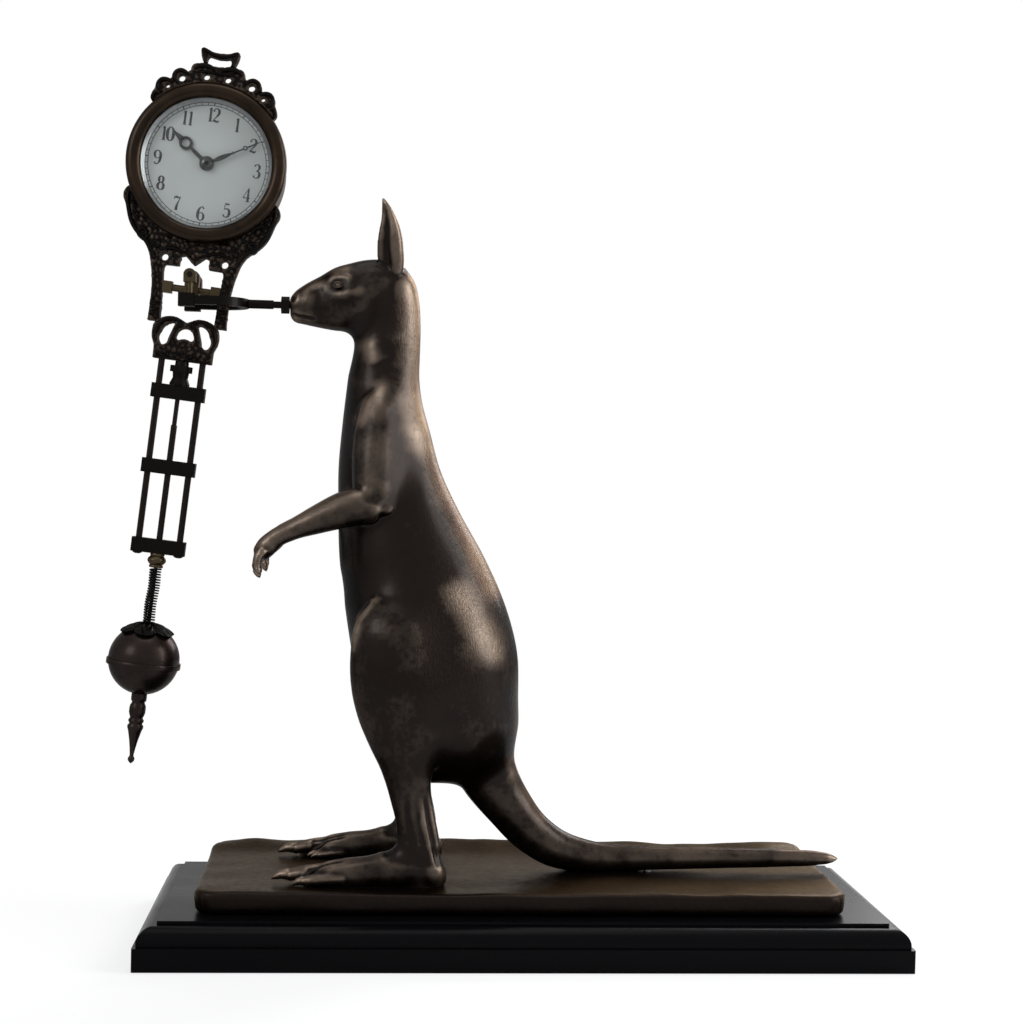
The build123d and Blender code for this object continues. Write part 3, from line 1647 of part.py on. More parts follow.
# Drum and movement
drum = {
    "drum_case": make_drum_case(),
    "drum_back_cover": make_back_cover(),
    "bezel": make_bezel(),
    "dome_glass": make_glass(),
    "silvered_ring": make_ring(),
    "dial": make_dial(),
    "hour_hand": make_hour_hand(),
    "minute_hand": make_minute_hand(),
    "hand_nut": make_hand_nut(),
    "crest": make_crest(),
    "movement_front_plate": make_front_plate(),
    "movement_back_plate": make_back_plate(),
    "movement_pillars": make_pillars(),
    "mainspring_barrel": make_barrel(),
    "winding_arbor": make_winding_arbor(),
    "winding_key": make_winding_key(),
    "centre_arbor": make_centre_arbor(),
    "setting_knob": make_setting_knob(),
    "third_wheel": make_third_wheel(),
    "escape_wheel": make_escape_wheel(),
    "anchor": make_anchor(),
    "impulse_pendulum": make_pendulum(),
    "minute_wheel": make_minute_wheel(),
    "minute_wheel_post": make_minute_post(),
    "hour_wheel": make_hour_wheel(),
}
for name, shape in drum.items():
    save(hang(in_drum(shape)), name)
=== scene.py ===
import json
from math import atan2, cos, pi, radians, sin, sqrt

import bmesh
import bpy
import numpy as np
from mathutils import Matrix, Vector, noise


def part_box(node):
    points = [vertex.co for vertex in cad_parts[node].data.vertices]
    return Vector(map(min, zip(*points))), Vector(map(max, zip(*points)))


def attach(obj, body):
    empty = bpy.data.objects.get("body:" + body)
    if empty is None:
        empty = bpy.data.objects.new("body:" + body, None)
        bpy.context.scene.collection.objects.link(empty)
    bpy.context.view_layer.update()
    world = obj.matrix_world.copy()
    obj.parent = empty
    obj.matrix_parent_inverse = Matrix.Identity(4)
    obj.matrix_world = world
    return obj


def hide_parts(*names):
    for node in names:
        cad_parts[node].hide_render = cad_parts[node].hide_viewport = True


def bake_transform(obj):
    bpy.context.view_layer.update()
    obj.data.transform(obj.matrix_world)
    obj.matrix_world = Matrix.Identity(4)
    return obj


bl_info = {
    "name": "Mystery Clock Builder",
    "version": (1, 0, 0),
    "blender": (4, 5, 0),
    "location": "View3D > Sidebar > Clock",
    "description": "Dresses a swinging mystery clock with a bronze kangaroo around its packed frame",
    "category": "Add Mesh",
}

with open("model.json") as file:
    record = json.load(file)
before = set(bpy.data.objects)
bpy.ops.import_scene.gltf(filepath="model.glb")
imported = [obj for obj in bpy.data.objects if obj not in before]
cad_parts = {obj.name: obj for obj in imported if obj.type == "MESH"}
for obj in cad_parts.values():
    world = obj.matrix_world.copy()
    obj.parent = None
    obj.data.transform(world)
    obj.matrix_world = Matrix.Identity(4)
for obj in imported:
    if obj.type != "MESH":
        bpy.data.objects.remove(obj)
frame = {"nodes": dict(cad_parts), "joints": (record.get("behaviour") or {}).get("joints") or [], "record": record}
NODES = frame["nodes"]
JOINTS = {joint["name"]: joint for joint in frame["joints"]}
SLOTS = {part["node"]: part["material_slot"] for part in frame["record"]["subparts"]}
mm = 0.001

# The figure's own scale: its height, and the place of its ankle on the ground
FIGURE_LOW, FIGURE_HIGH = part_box("kangaroo_figure")
GROUND_Z = FIGURE_LOW.z
HEIGHT = 305.0 * mm
TAIL_REACH_SHARE = 0.6552
ANKLE_X = FIGURE_HIGH.x - TAIL_REACH_SHARE * HEIGHT

# The hanging clock's own frame: the pivot, and the lean of its upright
PIVOT = Vector(JOINTS["swing"]["pos_m"])
UPRIGHT = Vector(JOINTS["bob_slide"]["axis"])
LEAN = atan2(UPRIGHT.x, UPRIGHT.z)
HANGING = Matrix.Translation(PIVOT) @ Matrix.Rotation(LEAN, 4, "Y")


def hanging_box(node):
    """Lowest and highest corner of a node in the hanging clock's own frame."""
    back = HANGING.inverted()
    corners = np.array([back @ v.co for v in NODES[node].data.vertices])
    return Vector(corners.min(0)), Vector(corners.max(0))


# Shapes


class Shape:
    """Points and faces gathered from rings, tubes and turned profiles."""

    def __init__(self):
        self.points = []
        self.faces = []

    def add(self, points, faces):
        """Takes in points and the faces that join them."""
        start = len(self.points)
        self.points += [tuple(p) for p in points]
        self.faces += [tuple(start + i for i in face) for face in faces]

    def rings(self, rows, capped=True):
        """A skin over rings of equally many points, closed at both ends."""
        count, sides = len(rows), len(rows[0])
        points = [tuple(p) for ring in rows for p in ring]
        faces = []
        for i in range(count - 1):
            for j in range(sides):
                k = (j + 1) % sides
                faces.append((i * sides + j, i * sides + k, (i + 1) * sides + k, (i + 1) * sides + j))
        if capped:
            points.append(tuple(np.mean(rows[0], axis=0)))
            points.append(tuple(np.mean(rows[-1], axis=0)))
            first, last = count * sides, count * sides + 1
            for j in range(sides):
                k = (j + 1) % sides
                faces.append((first, k, j))
                faces.append((last, (count - 1) * sides + j, (count - 1) * sides + k))
        self.add(points, faces)

    def tube(self, path, radii, sides=20, flat=1.0, across=(0, 1, 0)):
        """A round or flattened limb along a path; flat is its depth as a share of its width."""
        path = [Vector(p) for p in path]
        rows = []
        for i, centre in enumerate(path):
            tangent = (path[min(i + 1, len(path) - 1)] - path[max(i - 1, 0)]).normalized()
            side = Vector(across)
            side = (side - tangent * side.dot(tangent)).normalized()
            up = tangent.cross(side)
            ring = []
            for j in range(sides):
                angle = 2 * pi * j / sides
                ring.append(centre + side * (radii[i] * cos(angle)) + up * (radii[i] * flat * sin(angle)))
            rows.append(ring)
        self.rings(rows)

    def turned(self, profile, place=None, axis="Z", segments=96, closed=False):
        """A profile of radius and distance along an axis, turned about it."""
        place = place or Matrix.Identity(4)
        rows = []
        for radius, along in profile:
            ring = []
            for j in range(segments):
                angle = 2 * pi * j / segments
                if axis == "Z":
                    point = Vector((radius * cos(angle), radius * sin(angle), along))
                else:
                    point = Vector((radius * cos(angle), along, radius * sin(angle)))
                ring.append(place @ point)
            rows.append(ring)
        if closed:
            rows.append(rows[0])
        self.rings(rows, capped=not closed)

    def sphere(self, centre, radius, scale=(1, 1, 1), segments=24):
        """A ball, stretched along the axes."""
        rows = []
        half = segments // 2
        for i in range(1, half):
            angle = pi * i / half
            ring = []
            for j in range(segments):
                turn = 2 * pi * j / segments
                unit = Vector((sin(angle) * cos(turn), sin(angle) * sin(turn), cos(angle)))
                ring.append(Vector(centre) + Vector((
                    unit.x * scale[0], unit.y * scale[1], unit.z * scale[2],
                )) * radius)
            rows.append(ring)
        self.rings(rows)

    def build(self, name, smooth=True, sharp_angle=None):
        """The finished object."""
        mesh = bpy.data.meshes.new(name)
        mesh.from_pydata(self.points, [], self.faces)
        mesh.validate()
        obj = bpy.data.objects.new(name, mesh)
        bpy.context.scene.collection.objects.link(obj)
        turn_out(mesh)
        mesh.polygons.foreach_set("use_smooth", [smooth] * len(mesh.polygons))
        if sharp_angle:
            mesh.set_sharp_from_angle(angle=sharp_angle)
        return obj


def turn_out(mesh):
    """Welds doubled points and turns every face outwards."""
    work = bmesh.new()
    work.from_mesh(mesh)
    bmesh.ops.remove_doubles(work, verts=work.verts, dist=1e-7)
    bmesh.ops.dissolve_degenerate(work, edges=work.edges, dist=1e-8)
    bmesh.ops.recalc_face_normals(work, faces=work.faces)
    work.to_mesh(mesh)
    work.free()


def spread(rows, steps):
    """Rows of numbers with smooth steps between them, their first columns being a place."""
    rows = np.array(rows, float)
    reach = np.concatenate([[0], np.cumsum(np.linalg.norm(np.diff(rows[:, :2], axis=0), axis=1) + 1e-6)])
    slope = np.gradient(rows, reach, axis=0)
    made = []
    for i in range(len(rows) - 1):
        span = reach[i + 1] - reach[i]
        for step in range(steps):
            t = step / steps
            made.append(
                (2 * t**3 - 3 * t**2 + 1) * rows[i]
                + (t**3 - 2 * t**2 + t) * span * slope[i]
                + (3 * t**2 - 2 * t**3) * rows[i + 1]
                + (t**3 - t**2) * span * slope[i + 1]
            )
    made.append(rows[-1])
    return np.array(made)


def figure_point(x, y, z):
    """A place on the figure from its shares of the height."""
    return Vector((ANKLE_X + x * HEIGHT, y * HEIGHT, GROUND_Z + z * HEIGHT))


def figure_shares(points):
    """Places as shares of the figure's height, from its ankle on the ground."""
    return (points - np.array([ANKLE_X, 0, GROUND_Z])) / HEIGHT


def oval_ring(centre, first, second, sides=40, power=2.0, hollow=None):
    """A ring of points round a centre; a hollow is an angle, a width and a depth share."""
    ring = []
    for j in range(sides):
        angle = 2 * pi * j / sides
        c, s = cos(angle), sin(angle)
        reach = (abs(c) ** power + abs(s) ** power) ** (-1 / power)
        if hollow:
            away = abs((angle - hollow[0] + pi) % (2 * pi) - pi)
            reach *= 1 - hollow[2] * np.exp(-((away / hollow[1]) ** 2))
        ring.append(centre + first * (c * reach) + second * (s * reach))
    return ring


# Height, front, back and half width of the body and neck, as shares of the figure's height
body_shares = (
    (0.13, 0.02, 0.07, 0.012),
    (0.136, 0.0, 0.097, 0.04),
    (0.155, -0.02, 0.135, 0.07),
    (0.207, -0.062, 0.156, 0.108),
    (0.262, -0.083, 0.156, 0.121),
    (0.328, -0.096, 0.153, 0.122),
    (0.4, -0.108, 0.133, 0.11),
    (0.469, -0.117, 0.101, 0.094),
    (0.54, -0.12, 0.06, 0.08),
    (0.6, -0.121, 0.031, 0.072),
    (0.66, -0.117, 0.014, 0.064),
    (0.712, -0.112, 0.001, 0.054),
    (0.757, -0.107, -0.003, 0.046),
    (0.81, -0.098, -0.003, 0.042),
    (0.85, -0.09, -0.006, 0.037),
    (0.88, -0.08, -0.014, 0.03),
    (0.9, -0.07, -0.028, 0.018),
)
# Place along X, lowest, highest and half width of the head
head_shares = (
    (-0.197, 0.823, 0.85, 0.011),
    (-0.192, 0.816, 0.858, 0.018),
    (-0.174, 0.811, 0.872, 0.025),
    (-0.153, 0.807, 0.884, 0.029),
    (-0.134, 0.804, 0.896, 0.035),
    (-0.11, 0.801, 0.904, 0.042),
    (-0.085, 0.8, 0.91, 0.044),
    (-0.058, 0.808, 0.91, 0.038),
    (-0.034, 0.825, 0.898, 0.026),
    (-0.022, 0.84, 0.88, 0.013),
)
# Height, front, back, distance from the middle and half width of a leg
leg_shares = (
    (0.425, -0.045, -0.015, 0.078, 0.01),
    (0.41, -0.066, 0.012, 0.08, 0.026),
    (0.375, -0.09, 0.043, 0.084, 0.042),
    (0.33, -0.0965, 0.06, 0.086, 0.048),
    (0.275, -0.093, 0.07, 0.089, 0.047),
    (0.235, -0.082, 0.06, 0.092, 0.041),
    (0.2, -0.0665, 0.045, 0.0945, 0.034),
    (0.165, -0.049, 0.029, 0.095, 0.0275),
    (0.12, -0.034, 0.0275, 0.092, 0.0225),
    (0.073, -0.0235, 0.037, 0.09, 0.021),
    (0.035, -0.027, 0.044, 0.089, 0.0235),
    (0.01, -0.028, 0.0475, 0.089, 0.0245),
    (-0.01, -0.02, 0.045, 0.089, 0.022),
)
# Place along X, lowest, highest, distance from the middle and half width of a foot
foot_shares = (
    (0.05, 0.002, 0.02, 0.089, 0.01),
    (0.04, -0.008, 0.036, 0.089, 0.0215),
    (0.012, -0.01, 0.054, 0.089, 0.025),
    (-0.026, -0.01, 0.05, 0.089, 0.0245),
    (-0.06, -0.01, 0.039, 0.09, 0.0235),
    (-0.1, -0.01, 0.034, 0.0915, 0.026),
    (-0.128, -0.01, 0.028, 0.0925, 0.0255),
    (-0.146, -0.006, 0.017, 0.093, 0.017),
)
FOOT_MIDDLE_SHARE = foot_shares[5][3]
# Place along X, distance outwards from the foot's middle, height and radius of each toe
toe_shares = (
    (
        (-0.105, 0.0, 0.018, 0.0125), (-0.135, -0.001, 0.0155, 0.0135), (-0.16, -0.002, 0.0125, 0.0122),
        (-0.181, -0.003, 0.009, 0.0092),
    ),
    (
        (-0.1, 0.017, 0.01, 0.011), (-0.125, 0.021, 0.01, 0.0112), (-0.145, 0.022, 0.008, 0.0098),
        (-0.16, 0.021, 0.006, 0.0075),
    ),
    (
        (-0.1, -0.015, 0.011, 0.008), (-0.12, -0.018, 0.01, 0.0075), (-0.138, -0.02, 0.007, 0.0065),
        (-0.15, -0.02, 0.005, 0.005),
    ),
    (
        (-0.1, -0.021, 0.007, 0.006), (-0.118, -0.025, 0.007, 0.006), (-0.134, -0.026, 0.005, 0.0055),
        (-0.144, -0.026, 0.004, 0.0045),
    ),
)
toe_claw_shares = (
    (-0.203, -0.003, 0.008), (-0.172, 0.02, 0.003), (-0.158, -0.021, 0.003), (-0.152, -0.027, 0.0025),
)
# Place along X, distance from the middle, height and radius of an upper arm and a forearm
upper_arm_shares = (
    (-0.043, 0.004, 0.752, 0.012),
    (-0.05, 0.02, 0.722, 0.026),
    (-0.057, 0.035, 0.69, 0.033),
    (-0.062, 0.049, 0.65, 0.0365),
    (-0.065, 0.062, 0.605, 0.0355),
    (-0.066, 0.071, 0.565, 0.031),
    (-0.063, 0.077, 0.54, 0.022),
)
forearm_shares = (
    (-0.04, 0.077, 0.541, 0.009),
    (-0.056, 0.078, 0.549, 0.022),
    (-0.08, 0.08, 0.5465, 0.0275),
    (-0.11, 0.081, 0.539, 0.0262),
    (-0.15, 0.082, 0.5235, 0.0205),
    (-0.186, 0.0825, 0.5075, 0.0148),
    (-0.208, 0.0825, 0.4955, 0.0142),
    (-0.222, 0.082, 0.4815, 0.015),
    (-0.23, 0.0815, 0.471, 0.0125),
)
# Distance outwards from the hand's middle of each finger, its reach and its radius
finger_shares = (
    (-0.0135, 0.86, 0.0062), (-0.0046, 1.0, 0.0068), (0.0046, 0.98, 0.0068), (0.0135, 0.84, 0.0062),
)
# Place along X and height of a finger, from its knuckle to the root and the tip of its claw
finger_path_shares = ((-0.2235, 0.48), (-0.232, 0.468), (-0.234, 0.456), (-0.2325, 0.4465), (-0.229, 0.4385))
# Height, place along X, distance from the middle and both half widths of an ear
ear_shares = (
    (0.878, -0.05, 0.018, 0.014, 0.011),
    (0.9, -0.05, 0.023, 0.0195, 0.014),
    (0.92, -0.0515, 0.028, 0.0205, 0.0155),
    (0.941, -0.0525, 0.032, 0.019, 0.0145),
    (0.96, -0.0535, 0.035, 0.0145, 0.012),
    (0.976, -0.056, 0.037, 0.0095, 0.009),
    (0.989, -0.06, 0.038, 0.0055, 0.006),
    (0.998, -0.064, 0.038, 0.002, 0.002),
)
# Place along X, height and radius of the tail
tail_shares = (
    (0.02, 0.32, 0.045),
    (0.05, 0.26, 0.062),
    (0.074, 0.215, 0.064),
    (0.099, 0.173, 0.052),
    (0.1205, 0.131, 0.0425),
    (0.1455, 0.096, 0.0365),
    (0.177, 0.0595, 0.0325),
    (0.215, 0.0335, 0.0295),
    (0.27, 0.0195, 0.024),
    (0.348, 0.0175, 0.0185),
    (0.48, 0.0185, 0.0155),
    (0.575, 0.019, 0.0132),
    (0.625, 0.019, 0.0105),
    (0.645, 0.0185, 0.0065),
    (0.6545, 0.0185, 0.0018),
)
EYE_SHARE = (-0.127, 0.0365, 0.868)
EYE_RADIUS_SHARE = 0.0048


def add_body(shape):
    """Body, neck, head and tail."""
    rows = []
    for z, front, back, half in spread(body_shares, 5):
        centre = figure_point((front + back) / 2, 0, z)
        rows.append(oval_ring(
            centre, Vector(((back - front) / 2 * HEIGHT, 0, 0)), Vector((0, half * HEIGHT, 0)), 64,
        ))
    shape.rings(rows)
    rows = []
    for x, low, high, half in spread(head_shares, 6):
        centre = figure_point(x, 0, (low + high) / 2)
        rows.append(
            oval_ring(
                centre, Vector((0, half * HEIGHT, 0)), Vector((0, 0, (high - low) / 2 * HEIGHT)), 48, 2.15,
            )
        )
    shape.rings(rows)
    path = spread(tail_shares, 6)
    shape.tube([figure_point(x, 0, z) for x, z, r in path], [r * HEIGHT for x, z, r in path], 40)


def add_leg(shape, side):
    """Thigh, shank, foot and toes."""
    rows = []
    for z, front, back, out, half in spread(leg_shares, 5):
        centre = figure_point((front + back) / 2, side * out, z)
        rows.append(oval_ring(
            centre, Vector(((back - front) / 2 * HEIGHT, 0, 0)), Vector((0, half * HEIGHT, 0)), 48,
        ))
    shape.rings(rows)
    rows = []
    for x, low, high, out, half in spread(foot_shares, 5):
        centre = figure_point(x, side * out, (low + high) / 2)
        rows.append(
            oval_ring(
                centre, Vector((0, half * HEIGHT, 0)), Vector((0, 0, (high - low) / 2 * HEIGHT)), 36, 2.3,
            )
        )
    shape.rings(rows)
    for toe in toe_shares:
        path = spread(toe, 4)
        shape.tube(
            [
                figure_point(x, side * (FOOT_MIDDLE_SHARE + out), z)
                for x, out, z, r in path
            ], [r * HEIGHT for *_, r in path], 18, 0.85
        )


def finger_path(side, out, reach):
    """Places along one finger, from its knuckle to the tip of its claw; the fingers fan out."""
    start = finger_path_shares[0]
    hand = forearm_shares[-2][1]
    return [
        figure_point(
            start[0] + (x - start[0]) * reach,
            side * (hand + out * (1 + 0.08 * i)),
            start[1] + (z - start[1]) * reach,
        )
        for i, (x, z) in enumerate(finger_path_shares)
    ]


def add_arm(shape, side):
    """Upper arm, forearm, hand and fingers."""
    for shares in (upper_arm_shares, forearm_shares):
        path = spread(shares, 5)
        shape.tube(
            [figure_point(x, side * y, z) for x, y, z, r in path], [r * HEIGHT for *_, r in path], 30, 1.0,
        )
    for out, reach, radius in finger_shares:
        shape.tube(
            finger_path(side, out, reach)[:4], [radius * HEIGHT * k for k in (1.15, 1.1, 1.0, 0.85)], 14,
        )


def add_ear(shape, side):
    """One upright ear, hollow towards the front and the outside."""
    rows = []
    for z, x, y, half_x, half_y in spread(ear_shares, 6):
        centre = figure_point(x, side * y, z)
        open_angle = (pi + side * -1.05) % (2 * pi)
        depth = 0.8 * min(1.0, max(0.0, (z - 0.878) / 0.022))
        first, second = Vector((half_x * HEIGHT, 0, 0)), Vector((0, half_y * HEIGHT, 0))
        rows.append(oval_ring(centre, first, second, 36, 2.0, (open_angle, 0.78, depth)))
    shape.rings(rows)


def add_claws(shape):
    """Claws of the toes and fingers, crisp and pointed."""
    for side in (-1, 1):
        for toe, (x, out, z) in zip(toe_shares, toe_claw_shares):
            root_x, root_out, root_z, radius = toe[-1]
            root = figure_point(root_x + radius, side * (FOOT_MIDDLE_SHARE + root_out), root_z)
            tip = figure_point(x, side * (FOOT_MIDDLE_SHARE + out), z - radius / 2)
            path = [
                root.lerp(tip, t) + Vector((0, 0, sin(pi * t) * radius * HEIGHT / 2))
                for t in (0, 0.3, 0.6, 0.85, 1)
            ]
            shape.tube(path, [radius * HEIGHT * k for k in (0.95, 0.92, 0.7, 0.42, 0.08)], 14)
        for out, reach, radius in finger_shares:
            *_, root, tip = finger_path(side, out, reach)
            root += (root - tip) * 0.5
            shape.tube(
                [root.lerp(tip, t) for t in (0, 0.4, 0.75, 1)],
                [radius * HEIGHT * k for k in (0.8, 0.74, 0.5, 0.1)], 12,
            )


def add_eyes(shape):
    """Eyeballs between an upper and a lower lid."""
    x, y, z = EYE_SHARE
    radius = EYE_RADIUS_SHARE * HEIGHT
    for side in (-1, 1):
        centre = figure_point(x, side * y, z)
        shape.sphere(centre - Vector((0, side * radius * 0.35, 0)), radius, (1.0, 0.9, 0.85))
        for lift, reach in ((1, 1.3), (-1, 1.15)):
            path, radii = [], []
            for i in range(13):
                angle = pi * i / 12
                across, up = -cos(angle) * radius * 1.35, lift * sin(angle) * radius * reach * 0.64
                path.append(centre + Vector((across, side * radius * (0.1 + 0.25 * sin(angle)), up)))
                radii.append(radius * (0.08 + 0.12 * sin(angle)))
            shape.tube(path, radii, 10, across=(0, 0.3, 1))


def nearest(points, path):
    """Distance of each point in X and Z from a chain of straight stretches, and its share along the chain."""
    path = np.array(path, float)
    best = np.full(len(points), 1e9)
    along = np.zeros(len(points))
    for i in range(len(path) - 1):
        run = path[i + 1] - path[i]
        t = np.clip(((points - path[i]) @ run) / (run @ run), 0, 1)
        distance = np.linalg.norm(points - path[i] - t[:, None] * run, axis=1)
        closer = distance < best
        best = np.where(closer, distance, best)
        along = np.where(closer, (i + t) / (len(path) - 1), along)
    return best, along


# Joins between the forms that run smoothly into each other: their points in X and Z, and width
soft_join_shares = (
    (((-0.08, 0.765), (-0.05, 0.757), (-0.03, 0.735), (-0.02, 0.69), (-0.02, 0.64), (-0.028, 0.585)), 0.03),
    (((-0.1, 0.425), (-0.07, 0.44), (-0.03, 0.447)), 0.022),
    (
        (
            (-0.03, 0.445), (0.012, 0.43), (0.038, 0.395), (0.052, 0.33), (0.055, 0.27), (0.048, 0.21),
            (0.04, 0.18),
        ),
        0.034,
    ),
    (((-0.095, 0.795), (-0.07, 0.805), (-0.05, 0.825)), 0.025),
    (((0.055, 0.15), (0.09, 0.165), (0.13, 0.185)), 0.03),
    (((-0.03, 0.045), (0.04, 0.04)), 0.01),
    (((-0.05, 0.555), (-0.07, 0.565)), 0.012),
)
# Raised and sunk lines on the flanks: their points in X and Z, width and height
flank_line_shares = (
    (((-0.096, 0.3), (-0.0935, 0.345), (-0.086, 0.38), (-0.066, 0.408), (-0.045, 0.418)), 0.0036, 0.0022),
    (((-0.07, 0.718), (-0.086, 0.69), (-0.095, 0.65), (-0.098, 0.6)), 0.008, 0.0022),
    (((-0.082, 0.795), (-0.07, 0.77), (-0.06, 0.75)), 0.014, 0.002),
    (((0.008, 0.135), (0.014, 0.095), (0.025, 0.05), (0.033, 0.018)), 0.0042, 0.0015),
    (((0.022, 0.135), (0.028, 0.095), (0.037, 0.05), (0.043, 0.02)), 0.004, 0.0013),
    (((0.015, 0.135), (0.021, 0.095), (0.031, 0.05), (0.038, 0.018)), 0.0036, -0.0018),
    (((-0.012, 0.15), (-0.008, 0.1), (0.0, 0.06), (0.008, 0.03)), 0.007, -0.001),
    (((-0.138, 0.858), (-0.118, 0.8545), (-0.098, 0.858), (-0.083, 0.865)), 0.007, 0.0014),
    (((-0.146, 0.872), (-0.132, 0.881), (-0.115, 0.882), (-0.102, 0.876)), 0.005, 0.0018),
    (((-0.2, 0.829), (-0.184, 0.8225), (-0.168, 0.8195), (-0.158, 0.8175)), 0.0022, -0.0017),
    (((-0.176, 0.857), (-0.158, 0.862), (-0.146, 0.862)), 0.007, -0.001),
)
# Raised and sunk patches: X, Z, width and height
flank_patch_shares = (
    (0.075, 0.35, 0.036, 0.005),
    (0.03, 0.385, 0.03, -0.003),
    (0.045, 0.29, 0.03, 0.0025),
    (0.05, 0.235, 0.02, -0.0025),
    (0.028, 0.46, 0.035, -0.002),
    (-0.1275, 0.868, 0.0105, -0.003),
    (-0.15, 0.85, 0.014, -0.0015),
    (-0.175, 0.845, 0.012, 0.0012),
    (-0.005, 0.655, 0.02, 0.003),
    (-0.062, 0.69, 0.02, 0.0025),
    (0.148, 0.15, 0.016, 0.003),
)
# Painted highlights: lines of brighter bronze where lamp reflections fall on the neck, back, hip, limbs and head;
# their points in X and Z, width and strength
highlight_line_shares = (
    (
        (
            (-0.014, 0.875), (-0.004, 0.8), (0.0, 0.74), (0.01, 0.69), (0.02, 0.65), (0.05, 0.57),
            (0.085, 0.5), (0.115, 0.43),
        ),
        0.022, 0.62,
    ),
    (((-0.02, 0.7), (0.0, 0.64)), 0.02, 0.3),
    (((0.06, 0.42), (0.09, 0.375), (0.11, 0.34)), 0.02, 0.5),
    (((-0.06, 0.72), (-0.09, 0.67)), 0.01, 0.45),
    (((-0.085, 0.78), (-0.075, 0.765)), 0.012, 0.35),
    (((-0.075, 0.57), (-0.15, 0.543), (-0.205, 0.512), (-0.232, 0.48)), 0.009, 0.36),
    (((-0.185, 0.862), (-0.155, 0.872)), 0.009, 0.4),
    (((-0.135, 0.888), (-0.115, 0.893)), 0.006, 0.35),
    (((-0.046, 0.92), (-0.052, 0.975)), 0.01, 0.15),
    (((0.15, 0.17), (0.172, 0.13), (0.2, 0.09)), 0.012, 0.35),
    (((-0.092, 0.34), (-0.082, 0.385), (-0.06, 0.414)), 0.005, 0.45),
    (((-0.17, 0.022), (-0.1, 0.034), (-0.05, 0.045)), 0.008, 0.12),
)
nostril_share = (-0.1895, 0.0135, 0.8465)
# Distance outwards from the foot's middle of the grooves between the toes
toe_gap_shares = (0.0095, -0.0085, -0.0155)


def shape_flanks(places, normals):
    """Height to raise each point by: lines and patches of muscle, tendon and face."""
    flat = places[:, [0, 2]]
    facing = np.clip((np.abs(normals[:, 1]) - 0.12) / 0.35, 0, 1)
    raised = np.zeros(len(places))
    for path, width, height in flank_line_shares:
        distance, along = nearest(flat, path)
        taper = np.clip(np.minimum(along, 1 - along) * 3.5, 0, 1)
        taper = taper**2 * (3 - 2 * taper)
        raised += height * taper * np.exp(-((distance / width) ** 2))
    for x, z, width, height in flank_patch_shares:
        away = np.hypot(flat[:, 0] - x, flat[:, 1] - z)
        raised += height * np.exp(-((away / width) ** 2))
    raised *= facing
    x, y, z = nostril_share
    away = np.sqrt((places[:, 0] - x) ** 2 + (np.abs(places[:, 1]) - y) ** 2 + (places[:, 2] - z) ** 2)
    nostril, rim, rim_away, rim_width = 0.0042, 0.0012, 0.0075, 0.003
    raised += (
        -nostril * np.exp(-((away / nostril) ** 2))
        + rim * np.exp(-(((away - rim_away) / rim_width) ** 2))
    )
    toes_start, toes_end, toes_height, groove, groove_width = -0.098, -0.15, 0.06, 0.0035, 0.0028
    toes = (places[:, 0] < toes_start) & (places[:, 0] > toes_end) & (places[:, 2] < toes_height)
    run_in = np.clip((toes_start - places[:, 0]) / 0.012, 0, 1)
    for out in toe_gap_shares:
        gap = np.abs(np.abs(places[:, 1]) - (FOOT_MIDDLE_SHARE + out))
        raised -= toes * groove * np.exp(-((gap / groove_width) ** 2)) * run_in
    return raised * HEIGHT


def mesh_arrays(mesh):
    """Points and normals of a mesh as arrays."""
    count = len(mesh.vertices)
    points, normals = np.empty(count * 3), np.empty(count * 3)
    mesh.vertices.foreach_get("co", points)
    mesh.vertices.foreach_get("normal", normals)
    return points.reshape(-1, 3), normals.reshape(-1, 3)


def neighbour_mean(mesh):
    """A function that gives each point the mean of its neighbours' values."""
    ends = np.empty(len(mesh.edges) * 2, int)
    mesh.edges.foreach_get("vertices", ends)
    first = np.concatenate([ends[0::2], ends[1::2]])
    second = np.concatenate([ends[1::2], ends[0::2]])
    number = len(mesh.vertices)
    count = np.maximum(np.bincount(first, minlength=number), 1)
    return lambda values: np.bincount(first, values[second], number) / count


def mean_places(mean, points):
    """The mean place of each point's neighbours."""
    return np.stack([mean(points[:, i]) for i in range(3)], axis=1)


def convexity(mesh):
    """How much each point stands out from its neighbours, in metres."""
    points, normals = mesh_arrays(mesh)
    mean = neighbour_mean(mesh)
    out = ((points - mean_places(mean, points)) * normals).sum(axis=1)
    for _ in range(4):
        out = 0.5 * out + 0.5 * mean(out)
    return out


def relax(mesh, weights, passes):
    """Draws each point towards its neighbours, as far as its weight says."""
    points, _ = mesh_arrays(mesh)
    mean = neighbour_mean(mesh)
    for _ in range(passes):
        points += (mean_places(mean, points) - points) * weights[:, None]
    mesh.vertices.foreach_set("co", points.ravel())
    mesh.update()


def store(mesh, name, values):
    """Keeps one number for each point, for the material to read."""
    attribute = mesh.attributes.new(name, "FLOAT", "POINT")
    attribute.data.foreach_set("value", np.asarray(values, np.float32))


def fused(obj, voxel, smoothing):
    """Fuses overlapping closed forms into one skin and softens their joins."""
    remesh = obj.modifiers.new("Fuse", "REMESH")
    remesh.mode = "VOXEL"
    remesh.voxel_size = voxel
    remesh.use_smooth_shade = True
    soften = obj.modifiers.new("Soften", "SMOOTH")
    soften.factor = 0.5
    soften.iterations = smoothing
    return applied(obj)


def applied(obj):
    """Turns an object's modifiers into its mesh."""
    graph = bpy.context.evaluated_depsgraph_get()
    mesh = bpy.data.meshes.new_from_object(obj.evaluated_get(graph))
    obj.modifiers.clear()
    old = obj.data
    obj.data = mesh
    bpy.data.meshes.remove(old)
    return obj


